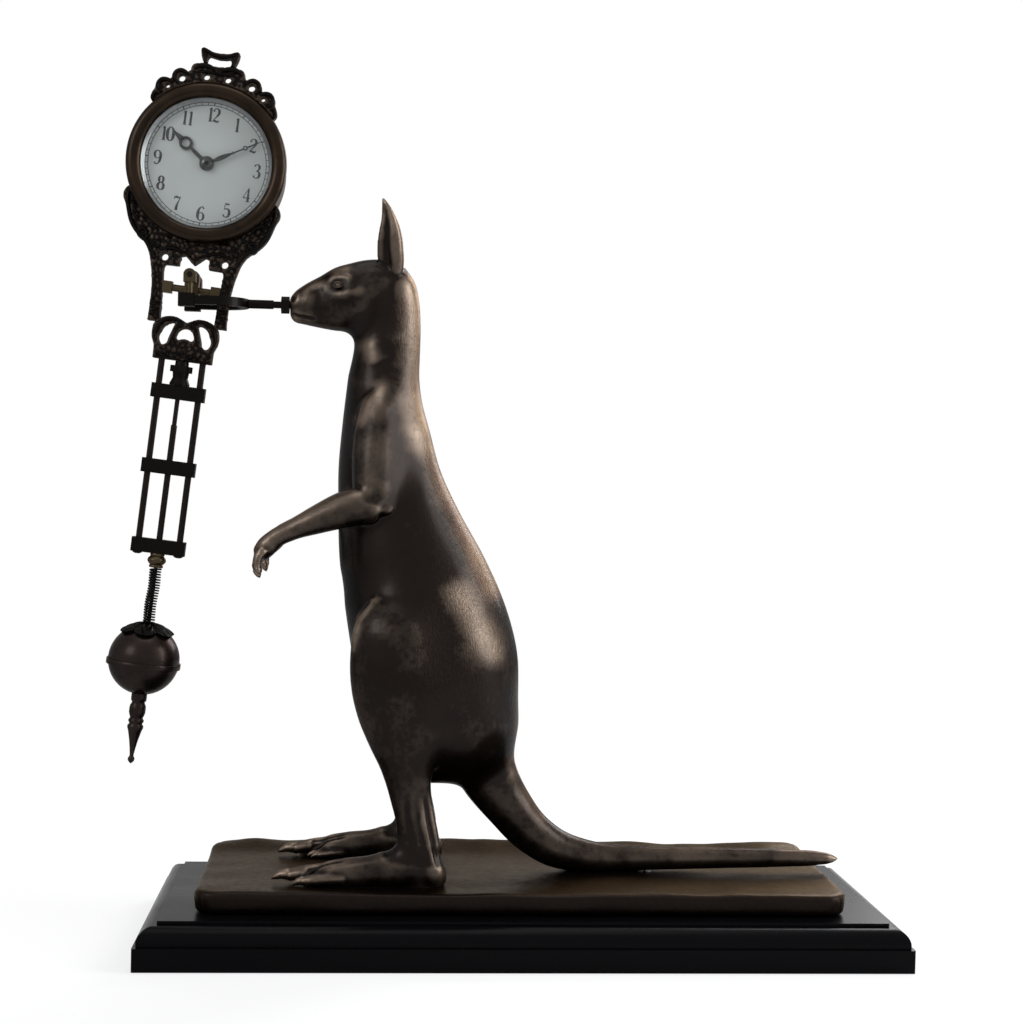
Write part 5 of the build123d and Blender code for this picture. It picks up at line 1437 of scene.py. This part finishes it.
def make_ground(settings):
    """The cast ground slab: an uneven top with shallow waves, and softly rounded edges."""
    low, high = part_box("bronze_plinth")
    points, faces = rounded_box(low, high, settings.edge, 1.6 * mm)
    middle_x, middle_y = (low.x + high.x) / 2, (low.y + high.y) / 2
    half_x, half_y = (high.x - low.x) / 2, (high.y - low.y) / 2
    corner = 10.0 * mm
    moved = []
    for x, y, z in points:
        top = max(0.0, (z - low.z) / (high.z - low.z))
        dx, dy = x - middle_x, y - middle_y
        out_x = max(0.0, abs(dx) - (half_x - corner))
        out_y = max(0.0, abs(dy) - (half_y - corner))
        reach = sqrt(out_x**2 + out_y**2)
        if out_x > 0 and out_y > 0 and reach > 0:
            scale = max(out_x, out_y) / reach
            dx -= np.sign(dx) * out_x * (1 - scale)
            dy -= np.sign(dy) * out_y * (1 - scale)
        wave = noise.noise(Vector((x * 22, y * 30, 1.7))) + 0.5 * noise.noise(Vector((x * 60, y * 75, 5.1)))
        side = noise.noise(Vector((x * 45, y * 45, z * 60)))
        inward = (0.35 + side) * 0.5 * mm + 0.8 * mm * (1 - top)
        edge_x, edge_y = abs(dx) / half_x, abs(dy) / half_y
        dx -= np.sign(dx) * inward * (edge_x > 0.9)
        dy -= np.sign(dy) * inward * (edge_y > 0.85)
        drop = settings.waves * (0.55 - 0.8 * wave) * top
        behind = min(1.0, max(0.0, (dy - 28 * mm) / (22 * mm)))
        rise = settings.bank * top * behind**2 * (3 - 2 * behind) * (0.9 + 0.5 * wave)
        moved.append((middle_x + dx, middle_y + dy, z - max(0.0, drop) + rise))
    shape = Shape()
    shape.add(moved, faces)
    return shape.build("cast_ground")


def make_figure(settings):
    """The whole animal: fused forms, softened joins, sculpted lines, and crisp eyes and claws."""
    shape = Shape()
    add_body(shape)
    for side in (-1, 1):
        add_leg(shape, side)
        add_arm(shape, side)
        add_ear(shape, side)
    body = fused(shape.build("bronze_kangaroo"), settings.voxel, settings.smoothing)
    mesh = body.data
    points, _ = mesh_arrays(mesh)
    flat = figure_shares(points)[:, [0, 2]]
    weights = np.zeros(len(points))
    for path, width in soft_join_shares:
        weights = np.maximum(weights, np.exp(-((nearest(flat, path)[0] / width) ** 4)))
    relax(mesh, weights * 0.5, settings.join_passes)
    points, normals = mesh_arrays(mesh)
    points += normals * shape_flanks(figure_shares(points), normals)[:, None]
    points[:, 2] = np.maximum(points[:, 2], GROUND_Z - 1.2 * mm)
    mesh.vertices.foreach_set("co", points.ravel())
    mesh.update()
    crisp = Shape()
    add_claws(crisp)
    add_eyes(crisp)
    body = joined("bronze_kangaroo", [body, crisp.build("claws_and_eyes")])
    mesh = body.data
    points, normals = mesh_arrays(mesh)
    shares = figure_shares(points)
    # Wear that grows with convexity, plus painted highlights along the highlight lines; the wear attribute carries
    # both into the bronze's colour
    wear_and_highlight = 0.5 + convexity(mesh) / (0.11 * mm)
    for path, width, strength in highlight_line_shares:
        wear_and_highlight += strength * np.exp(-((nearest(shares[:, [0, 2]], path)[0] / width) ** 2))
    store(mesh, "wear", np.clip(wear_and_highlight, 0, 1.2))
    lengthwise = shares[:, 0] + 0.05 * np.sin(shares[:, 2] * 9)
    back = np.clip((lengthwise + 0.045) / 0.05, 0, 1) * np.clip(normals[:, 0] * 1.6 + 0.75, 0, 1)
    above = np.clip((shares[:, 2] - 0.17) / 0.08, 0, 1) * np.clip((0.87 - shares[:, 2]) / 0.05, 0, 1)
    store(mesh, "fur", np.clip(back * above + 0.12, 0, 1))
    mesh.polygons.foreach_set("use_smooth", [True] * len(mesh.polygons))
    return body


# Relief on the castings, in the hanging clock's frame; its rolls are made thicker by one share
RELIEF_SHARE = 1.3


def add_relief(shape, path, radii, fronts, flat=0.85):
    """A raised roll along a path on both faces of a casting."""
    rows = spread([(x, z, r * RELIEF_SHARE) for (x, z), r in zip(path, radii)], 5)
    for front in fronts:
        points = [HANGING @ Vector((x, front, z)) for x, z, r in rows]
        shape.tube(
            points, [max(r, 0.05 * mm) for *_, r in rows], 12, flat,
            across=HANGING.to_3x3() @ Vector((0, 1, 0)),
        )


def add_roll(shape, side, points, radii, fronts, middle=0.0):
    """A raised roll on one side of a middle line, its radii in millimetres."""
    add_relief(shape, [(middle + side * x, z) for x, z in points], [r * mm for r in radii], fronts)


def scroll(centre, radius, start, turns, end_share=0.25, count=14):
    """A spiral of points that runs in from a radius."""
    made = []
    for i in range(count):
        t = i / (count - 1)
        angle = radians(start) + 2 * pi * turns * t
        reach = radius * (1 - (1 - end_share) * t)
        made.append((centre[0] + reach * cos(angle), centre[1] + reach * sin(angle)))
    return made


def add_bead(shape, x, z, radius, fronts, flat=0.7):
    """A round bead on both faces."""
    for front in fronts:
        shape.sphere(HANGING @ Vector((x, front, z)), radius, (1, flat, 1), 16)


def make_casting(node, name, beaded=0.0):
    """A casting made from its plain solid: softened edges, and a skin of small leaves and beads."""
    casting = bpy.data.objects.new(name, NODES[node].data.copy())
    bpy.context.scene.collection.objects.link(casting)
    turn_out(casting.data)
    fused(casting, 0.38 * mm, 2)
    mesh = casting.data
    points, normals = mesh_arrays(mesh)
    back = np.array(HANGING.inverted())
    local = points @ back[:3, :3].T + back[:3, 3]
    raised = np.zeros(len(points))
    for i, (x, y, z) in enumerate(local):
        side = float(y > 0)
        swell = noise.noise(Vector((x * 260, z * 260, 0.4 + side)))
        bead = noise.voronoi(Vector((x * 470, z * 470, 2.0 + side)))[0][0]
        grain = noise.voronoi(Vector((x * 1050, z * 1050, 5.0 + side)))[0][0]
        raised[i] = 0.35 * swell - (0.35 + beaded) * bead - 0.25 * grain
    raised -= raised.mean()
    facing = np.clip((np.abs(normals[:, 1]) - 0.35) / 0.4, 0, 1)
    points += normals * (raised * facing * 0.85 * mm)[:, None]
    mesh.vertices.foreach_set("co", points.ravel())
    mesh.update()
    store(mesh, "wear", np.clip(0.5 + convexity(mesh) / (0.02 * mm), 0, 1))
    mesh.polygons.foreach_set("use_smooth", [True] * len(mesh.polygons))
    return casting


def make_lyre_relief():
    """Leafwork and scrolls on the lyre: scalloped leaves up the arms, scrolls, beads and reeded uprights."""
    low, high = hanging_box("lyre_frame")
    half, top, bottom = high.x, high.z, -low.z
    fronts = (low.y + 0.1 * mm, high.y - 0.1 * mm)
    edge = (
        (0.965, 0.97), (0.975, 0.86), (0.94, 0.7), (0.875, 0.55),
        (0.79, 0.45), (0.68, 0.37), (0.6, 0.27), (0.55, 0.15),
    )
    edge_radii = (0.5, 0.8, 0.9, 0.95, 0.9, 0.9, 0.8, 0.6)
    shape = Shape()
    for side in (-1, 1):
        add_roll(shape, side, [(x * half - 1.3 * mm, z * top) for x, z in edge], edge_radii, fronts)
        for i in range(5):
            t = i / 5
            x, z = (0.955 - 0.13 * t) * half - 2.2 * mm, (0.93 - 0.36 * t) * top
            leaf = [(x - 1.6 * mm, z - 1.6 * mm), (x, z - 0.4 * mm), (x + 1.6 * mm, z + 1.2 * mm)]
            add_roll(shape, side, leaf, (0.25, 0.75, 0.3), fronts)
        add_roll(shape, side, scroll((0.69 * half, 0.46 * top), 2.7 * mm, 200, 1.4), [0.75] * 14, fronts)
        add_bead(shape, side * 0.69 * half, 0.46 * top, 0.95 * mm, fronts)
        add_roll(shape, side, scroll((0.5 * half, 0.36 * top), 2.1 * mm, 20, -1.2), [0.6] * 14, fronts)
        collar = ((0.46, 0.27), (0.33, 0.32), (0.2, 0.3), (0.06, 0.25))
        add_roll(shape, side, [(x * half, z * top) for x, z in collar], (0.5, 0.8, 0.7, 0.5), fronts)
        for i in range(4):
            add_bead(shape, side * (0.1 + 0.11 * i) * half, (0.335 - 0.012 * i) * top, 0.8 * mm, fronts)
        for offset in (0.39, 0.475):
            reed = [(offset * half + 0.4 * mm, 0.1 * top), (offset * half, -0.25 * bottom)]
            reed.append(((offset - 0.02) * half, -0.56 * bottom))
            add_roll(shape, side, reed, (0.35, 0.45, 0.4), fronts)
        for share in (0.6, 0.66, 0.86):
            band = [(x * half, -share * bottom) for x in (0.355, 0.425, 0.495)]
            add_roll(shape, side, band, (0.5, 0.6, 0.5), fronts)
        slant = ((0.375, -0.7), (0.43, -0.76), (0.48, -0.82))
        add_roll(shape, side, [(x * half, z * bottom) for x, z in slant], (0.4, 0.7, 0.4), fronts)
    return shape.build("lyre_relief")


def make_bracket_relief():
    """Scrolls, a shell and a leaf band on the bracket."""
    low, high = hanging_box("scroll_bracket")
    half, floor, height = high.x, low.z, high.z - low.z
    fronts = (low.y + 0.1 * mm, high.y - 0.1 * mm)
    arm = ((0.27, 0.92), (0.55, 0.93), (0.8, 0.8), (0.9, 0.55), (0.84, 0.35))
    stem = ((0.3, 0.72), (0.36, 0.52), (0.42, 0.36))
    shape = Shape()
    for side in (-1, 1):
        add_roll(
            shape, side, scroll((0.2 * half, floor + 0.83 * height), 1.7 * mm, 60, 1.3), [0.6] * 14, fronts,
        )
        for shares, radii in ((arm, (0.6, 0.8, 0.8, 0.7, 0.45)), (stem, (0.6, 0.75, 0.5))):
            add_roll(shape, side, [(x * half, floor + z * height) for x, z in shares], radii, fronts)
        for i in range(3):
            x = (0.28 + 0.22 * i) * half
            leaf = [(x - 1.4 * mm, floor + 1.3 * mm), (x, floor + 2.6 * mm), (x + 1.5 * mm, floor + 3.0 * mm)]
            add_roll(shape, side, leaf, (0.3, 0.75, 0.3), fronts)
        foot = [(x * half, floor + 0.75 * mm) for x in (0.05, 0.45, 0.84)]
        add_roll(shape, side, foot, [0.5] * 3, fronts)
    root = floor + 1.2 * mm
    for spoke in (-50, -25, 0, 25, 50):
        angle = radians(90 + spoke)
        ray = [(0, root)] + [(r * mm * cos(angle), root + r * mm * sin(angle)) for r in (2.0, 3.6)]
        add_roll(shape, 1, ray, (0.3, 0.5, 0.55), fronts)
    return shape.build("bracket_relief")


def make_crest_relief():
    """Ribbon folds, beads and the rim of the loop on the crest."""
    low, high = hanging_box("crest")
    dial_x, _, dial_z = dial_place()
    half = 28.0 * mm
    height = 51.0 * mm
    fronts = (low.y + 0.15 * mm, high.y - 0.15 * mm)

    loop = (
        (-0.215, 0.86), (-0.24, 0.93), (-0.275, 0.975), (-0.1, 0.945),
        (0.1, 0.942), (0.275, 0.975), (0.24, 0.93), (0.215, 0.86),
    )
    folds = (
        (((0.03, 0.81), (0.16, 0.835), (0.3, 0.83), (0.385, 0.8)), (0.7, 1.1, 1.1, 0.6)),
        (((0.04, 0.78), (0.17, 0.79), (0.3, 0.775)), (0.5, 0.8, 0.4)),
        (
            ((0.44, 0.73), (0.49, 0.752), (0.58, 0.77), (0.66, 0.745), (0.68, 0.7), (0.62, 0.66)),
            (0.7, 0.9, 0.95, 0.9, 0.8, 0.6),
        ),
        (
            ((0.7, 0.655), (0.77, 0.672), (0.86, 0.668), (0.91, 0.635), (0.91, 0.59), (0.84, 0.56)),
            (0.7, 0.9, 0.9, 0.85, 0.8, 0.6),
        ),
        (((0.9, 0.55), (0.95, 0.54), (0.975, 0.5), (0.955, 0.47)), (0.6, 0.8, 0.75, 0.5)),
    )
    shape = Shape()

    def add_fold(side, shares, radii):
        """A roll placed over the dial by shares of the crest's half width and height."""
        points = [(x * half, dial_z + z * height) for x, z in shares]
        add_roll(shape, side, points, radii, fronts, dial_x)

    add_fold(1, loop, (0.7, 0.75, 0.8, 0.85, 0.85, 0.8, 0.75, 0.7))
    for side in (-1, 1):
        for shares, radii in folds:
            add_fold(side, shares, radii)
    add_bead(shape, dial_x, dial_z + 0.8 * height, 1.7 * mm, fronts)
    return shape.build("crest_relief")


# Operators


class MakeFigure(bpy.types.Operator):
    """Sculpts the bronze kangaroo over its plain solid"""

    bl_idname = "mystery_clock.make_figure"
    bl_label = "Bronze kangaroo"

    def execute(self, context):
        scene = context.scene
        settings = scene.clock_figure
        body = make_figure(settings)
        wear(
            body,
            patina(
                "figure_bronze", colour(settings.dark), colour(settings.light), 0.34, 1.0, True, True, 0.14,
            ),
        )
        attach(body, "stand")
        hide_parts("kangaroo_figure")
        return {"FINISHED"}


class MakeGround(bpy.types.Operator):
    """Casts the uneven ground slab"""

    bl_idname = "mystery_clock.make_ground"
    bl_label = "Ground slab"

    def execute(self, context):
        scene = context.scene
        settings = scene.clock_figure
        ground = make_ground(scene.clock_ground)
        wear(
            ground,
            patina("ground_bronze", colour(settings.dark), colour(settings.light), 0.36, 1.3, edge=0.6),
        )
        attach(ground, "stand")
        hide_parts("bronze_plinth")
        return {"FINISHED"}


class MakeCastings(bpy.types.Operator):
    """Adds the relief of the lyre, the bracket and the crest"""

    bl_idname = "mystery_clock.make_castings"
    bl_label = "Relief of the castings"

    def execute(self, context):
        scene = context.scene
        settings = scene.clock_clock
        bronze = patina("relief_bronze", colour(settings.frame_dark), colour(settings.frame_light), 0.36)
        carved = patina(
            "carved_bronze", colour(settings.frame_dark), colour(settings.frame_light), 0.38, 1.0, True
        )
        for piece in (make_lyre_relief(), make_bracket_relief(), make_crest_relief()):
            wear(piece, bronze)
            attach(piece, "clock")
        for node, name, beaded in (
            ("lyre_frame", "lyre_casting", 0.5),
            ("scroll_bracket", "bracket_casting", 0.2),
            ("crest", "crest_casting", 0.2),
        ):
            piece = make_casting(node, name, beaded)
            wear(piece, carved)
            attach(piece, "clock")
            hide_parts(node)
        return {"FINISHED"}


class MakeDrum(bpy.types.Operator):
    """Turns the bezel and blows the domed glass"""

    bl_idname = "mystery_clock.make_drum"
    bl_label = "Bezel and glass"

    def execute(self, context):
        scene = context.scene
        settings = scene.clock_clock
        bezel = make_bezel()
        wear(bezel, turned_bronze("bezel_bronze", colour(settings.bezel_dark), colour(settings.bezel_light)))
        glass = make_glass()
        wear(glass, clear_glass("dome_glass"))
        for piece, node, slot in ((bezel, "bezel", "bezel_bronze"), (glass, "dome_glass", "clock_glass")):
            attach(piece, "clock")
            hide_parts(node)
        return {"FINISHED"}


class MakeDial(bpy.types.Operator):
    """Prints the numerals and the minute track"""

    bl_idname = "mystery_clock.make_dial"
    bl_label = "Dial print"

    def execute(self, context):
        scene = context.scene
        settings = scene.clock_clock
        printed = make_print(settings)
        wear(printed, painted("dial_ink", colour(settings.ink), 0.4, 0.1))
        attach(printed, "clock")
        black = painted("hand_enamel", (0.008, 0.008, 0.009), 0.3, 0.2)
        for node, name, body, hub, strokes in (
            ("hour_hand", "hour_hand_sheet", "hour", 2.9 * mm, hour_hand_shares),
            ("minute_hand", "minute_hand_sheet", "centre", 3.3 * mm, minute_hand_shares),
        ):
            piece = make_hand(node, name, hub, strokes)
            wear(piece, black)
            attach(piece, body)
            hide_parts(node)
        return {"FINISHED"}


class MakeBob(bpy.types.Operator):
    """Turns the ball, its rosette and finial, and winds the spring"""

    bl_idname = "mystery_clock.make_bob"
    bl_label = "Ball and spring"

    def execute(self, context):
        scene = context.scene
        settings = scene.clock_clock
        ball = turned_bronze("ball_bronze", colour(settings.ball_dark), colour(settings.ball_light), 0.34)
        dark = patina("rosette_bronze", colour(settings.frame_dark), colour(settings.frame_light), 0.38)
        brass = turned_bronze(
            "bead_brass", tuple(c * 0.45 for c in settings.brass), colour(settings.brass), 0.36,
        )
        steel = cut_metal("spring_steel", (0.007, 0.006, 0.0055), 0.42, 0.95)
        pieces = (
            (make_ball(True), "ball_upper_half", "bob", "ball_bronze", ball),
            (make_ball(False), "ball_lower_half", "bob", "ball_bronze", ball),
            (make_leaves(), "leaf_cap", "bob", "frame_bronze", dark),
            (make_turning("finial", "turned_finial", finial_shares), "finial", "bob", "ball_bronze", ball),
            (
                make_turning("spring_ferrule", "turned_bead", ferrule_shares), "spring_ferrule", "clock",
                "worn_brass", brass,
            ),
        )
        for piece, node, body, slot, material in pieces:
            wear(piece, material)
            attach(piece, body)
            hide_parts(node)
        spring = make_spring()
        wear(spring, steel)
        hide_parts("coil_spring")
        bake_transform(spring)
        return {"FINISHED"}


class FinishMetal(bpy.types.Operator):
    """Gives every piece of the frame its finish"""

    bl_idname = "mystery_clock.finish_metal"
    bl_label = "Finishes"

    def execute(self, context):
        scene = context.scene
        settings = scene.clock_clock
        figure = scene.clock_figure
        frame_bronze = patina("frame_bronze", colour(settings.frame_dark), colour(settings.frame_light), 0.38)
        brass = turned_bronze(
            "worn_brass", tuple(c * 0.4 for c in settings.brass), colour(settings.brass), 0.4,
        )
        finishes = {
            "black_wood": lacquer("black_lacquer", (0.0015, 0.0015, 0.002)),
            "felt": felt("dark_felt", (0.03, 0.045, 0.035)),
            "figure_bronze": patina("cast_bronze", colour(figure.dark), colour(figure.light)),
            "frame_bronze": frame_bronze,
            "bezel_bronze": turned_bronze(
                "case_bronze", colour(settings.bezel_dark), colour(settings.bezel_light),
            ),
            "ball_bronze": turned_bronze(
                "bob_bronze", colour(settings.ball_dark), colour(settings.ball_light),
            ),
            "worn_brass": brass,
            "movement_brass": cut_metal("movement_brass", (0.62, 0.43, 0.17), 0.3),
            "dark_steel": cut_metal("dark_steel", (0.012, 0.009, 0.008), 0.4, 0.95),
            "steel": cut_metal("steel", (0.5, 0.5, 0.5), 0.3),
            "dial_white": painted("dial_enamel", colour(settings.dial), 0.3, 0.12),
            "silvered": cut_metal("silvered", (0.4, 0.405, 0.415), 0.28),
            "hand_black": painted("hand_paint", (0.008, 0.008, 0.009), 0.3, 0.2),
            "clock_glass": clear_glass("spare_glass"),
        }
        for name, obj in NODES.items():
            wear(obj, finishes[SLOTS[name]])
        for name in ("fork_lock_nut", "suspension_fork"):
            wear(NODES[name], frame_bronze)
        wear(NODES["centre_arbor"], finishes["dark_steel"])
        wear(NODES["hand_nut"], finishes["hand_black"])
        return {"FINISHED"}


class MakeStage(bpy.types.Operator):
    """Sets the floor, the lamps, the sky and the camera"""

    bl_idname = "mystery_clock.make_stage"
    bl_label = "Stage"

    def execute(self, context):
        scene = context.scene
        settings = scene.clock_stage
        make_floor(colour(settings.floor))
        make_lamps(scene, settings.key_power)
        make_sky(scene)
        make_camera(scene)
        scene.view_settings.view_transform = "Standard"
        return {"FINISHED"}


def make_floor(tint):
    """A pale floor that keeps the clock's shadow and fades into the background."""
    half = 3.0
    mesh = bpy.data.meshes.new("floor")
    mesh.from_pydata(
        [(-half, -half, 0), (half, -half, 0), (half, half, 0), (-half, half, 0)], [], [(0, 1, 2, 3)],
    )
    floor = bpy.data.objects.new("floor", mesh)
    bpy.context.scene.collection.objects.link(floor)
    shader = Shader("floor_paper")
    reach = shader.node("ShaderNodeVectorMath", {"operation": "LENGTH"}, {0: shader.place()}, 1)
    speck = shader.noise(300.0, 3.0)
    tone = shader.mix(speck * 0.2, tint, tuple(c * 0.97 for c in tint))
    paper = shader.node("ShaderNodeBsdfPrincipled", None, {"Base Color": tone, "Roughness": 0.9})
    white = shader.node("ShaderNodeEmission", None, {"Color": (1.0, 1.0, 1.0, 1.0), "Strength": 1.0})
    seen = shader.node("ShaderNodeLightPath", out=0)
    away = reach.between(0.16, 0.42)
    share = (seen * (0.72 + away * 0.28)).clamped()
    wear(floor, shader.finish(shader.node("ShaderNodeMixShader", None, {0: share, 1: paper, 2: white})))


def make_lamps(scene, key_power):
    """Large soft lamps: the key from the right, a weak fill from the left, one overhead and one behind."""
    target = Vector((-0.01, 0.0, 0.2))
    lamps = (
        ("key", (1.05, -0.25, 0.55), 0.6, 0.9, 1.0),
        ("fill", (-0.95, -0.8, 0.8), 0.5, 0.5, 0.35),
        ("top", (-0.05, 0.0, 1.15), 0.9, 0.6, 0.3),
        ("rim", (0.6, 0.8, 0.7), 0.5, 0.7, 0.9),
    )
    for name, place, width, height, share in lamps:
        data = bpy.data.lights.new(name, "AREA")
        data.shape = "RECTANGLE"
        data.size, data.size_y = width, height
        data.energy = key_power * share
        lamp = bpy.data.objects.new(name, data)
        lamp.location = place
        lamp.rotation_mode = "QUATERNION"
        lamp.rotation_quaternion = (target - Vector(place)).to_track_quat("-Z", "Y")
        scene.collection.objects.link(lamp)


def make_sky(scene):
    """A sky that the camera and mirrors see as white, and that lights the clock softly."""
    scene.world = bpy.data.worlds.new("studio")
    shader = Shader("studio", scene.world)
    straight = shader.node("ShaderNodeLightPath", out="Is Camera Ray")
    through = shader.node("ShaderNodeLightPath", out="Is Transmission Ray")
    mirrored = shader.node("ShaderNodeLightPath", out="Is Glossy Ray")
    soft = shader.node("ShaderNodeBackground", None, {"Color": (0.93, 0.96, 1.0, 1.0), "Strength": 0.3})
    white = shader.node("ShaderNodeBackground", None, {"Color": (1.0, 1.0, 1.0, 1.0), "Strength": 1.0})
    share = (straight + through + mirrored).clamped()
    shader.finish(
        shader.node("ShaderNodeMixShader", None, {0: share, 1: soft, 2: white}), "ShaderNodeOutputWorld",
    )


def make_camera(scene):
    """The camera, where the photograph was taken from."""
    place = Vector((-69.6, -800.1, 215.3)) * mm
    yaw, pitch, roll = radians(-4.44), radians(1.48), radians(1.37)
    forward = Vector((-sin(yaw) * cos(pitch), cos(yaw) * cos(pitch), -sin(pitch)))
    level = Vector((cos(yaw), sin(yaw), 0))
    above = level.cross(forward)
    right = level * cos(roll) + above * sin(roll)
    up = above * cos(roll) - level * sin(roll)
    data = bpy.data.cameras.new("camera")
    data.lens, data.sensor_width = 61.52, 36.0
    data.clip_start, data.clip_end = 0.01, 20.0
    camera = bpy.data.objects.new("camera", data)
    turn = Matrix((right, up, -forward)).transposed()
    camera.matrix_world = Matrix.Translation(place) @ turn.to_4x4()
    scene.collection.objects.link(camera)
    scene.camera = camera


STEPS = (FinishMetal, MakeFigure, MakeGround, MakeCastings, MakeDrum, MakeDial, MakeBob, MakeStage)


class ClockPanel(bpy.types.Panel):
    """Sizes, colours and steps of the mystery clock"""

    bl_idname = "VIEW3D_PT_mystery_clock"
    bl_label = "Mystery clock"
    bl_space_type = "VIEW_3D"
    bl_region_type = "UI"
    bl_category = "Clock"

    def draw(self, context):
        layout = self.layout
        for group in ("clock_figure", "clock_ground", "clock_clock", "clock_stage"):
            settings = getattr(context.scene, group)
            for name in settings.bl_rna.properties.keys():
                if name not in ("rna_type", "name"):
                    layout.prop(settings, name)
        for step in STEPS:
            layout.operator(step.bl_idname)


GROUPS = {
    "clock_figure": FigureSettings,
    "clock_ground": GroundSettings,
    "clock_clock": ClockSettings,
    "clock_stage": StageSettings,
}


def register():
    """Registers the settings, the steps and the panel."""
    for name, group in GROUPS.items():
        bpy.utils.register_class(group)
        setattr(bpy.types.Scene, name, bpy.props.PointerProperty(type=group))
    for step in STEPS:
        bpy.utils.register_class(step)
    bpy.utils.register_class(ClockPanel)


def unregister():
    """Takes everything out again."""
    bpy.utils.unregister_class(ClockPanel)
    for step in reversed(STEPS):
        bpy.utils.unregister_class(step)
    for name, group in GROUPS.items():
        delattr(bpy.types.Scene, name)
        bpy.utils.unregister_class(group)


def main():
    """Builds the clock step by step."""
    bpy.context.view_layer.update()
    register()
    for step in STEPS:
        group, name = step.bl_idname.split(".")
        getattr(getattr(bpy.ops, group), name)()


if __name__ == "__main__":
    main()
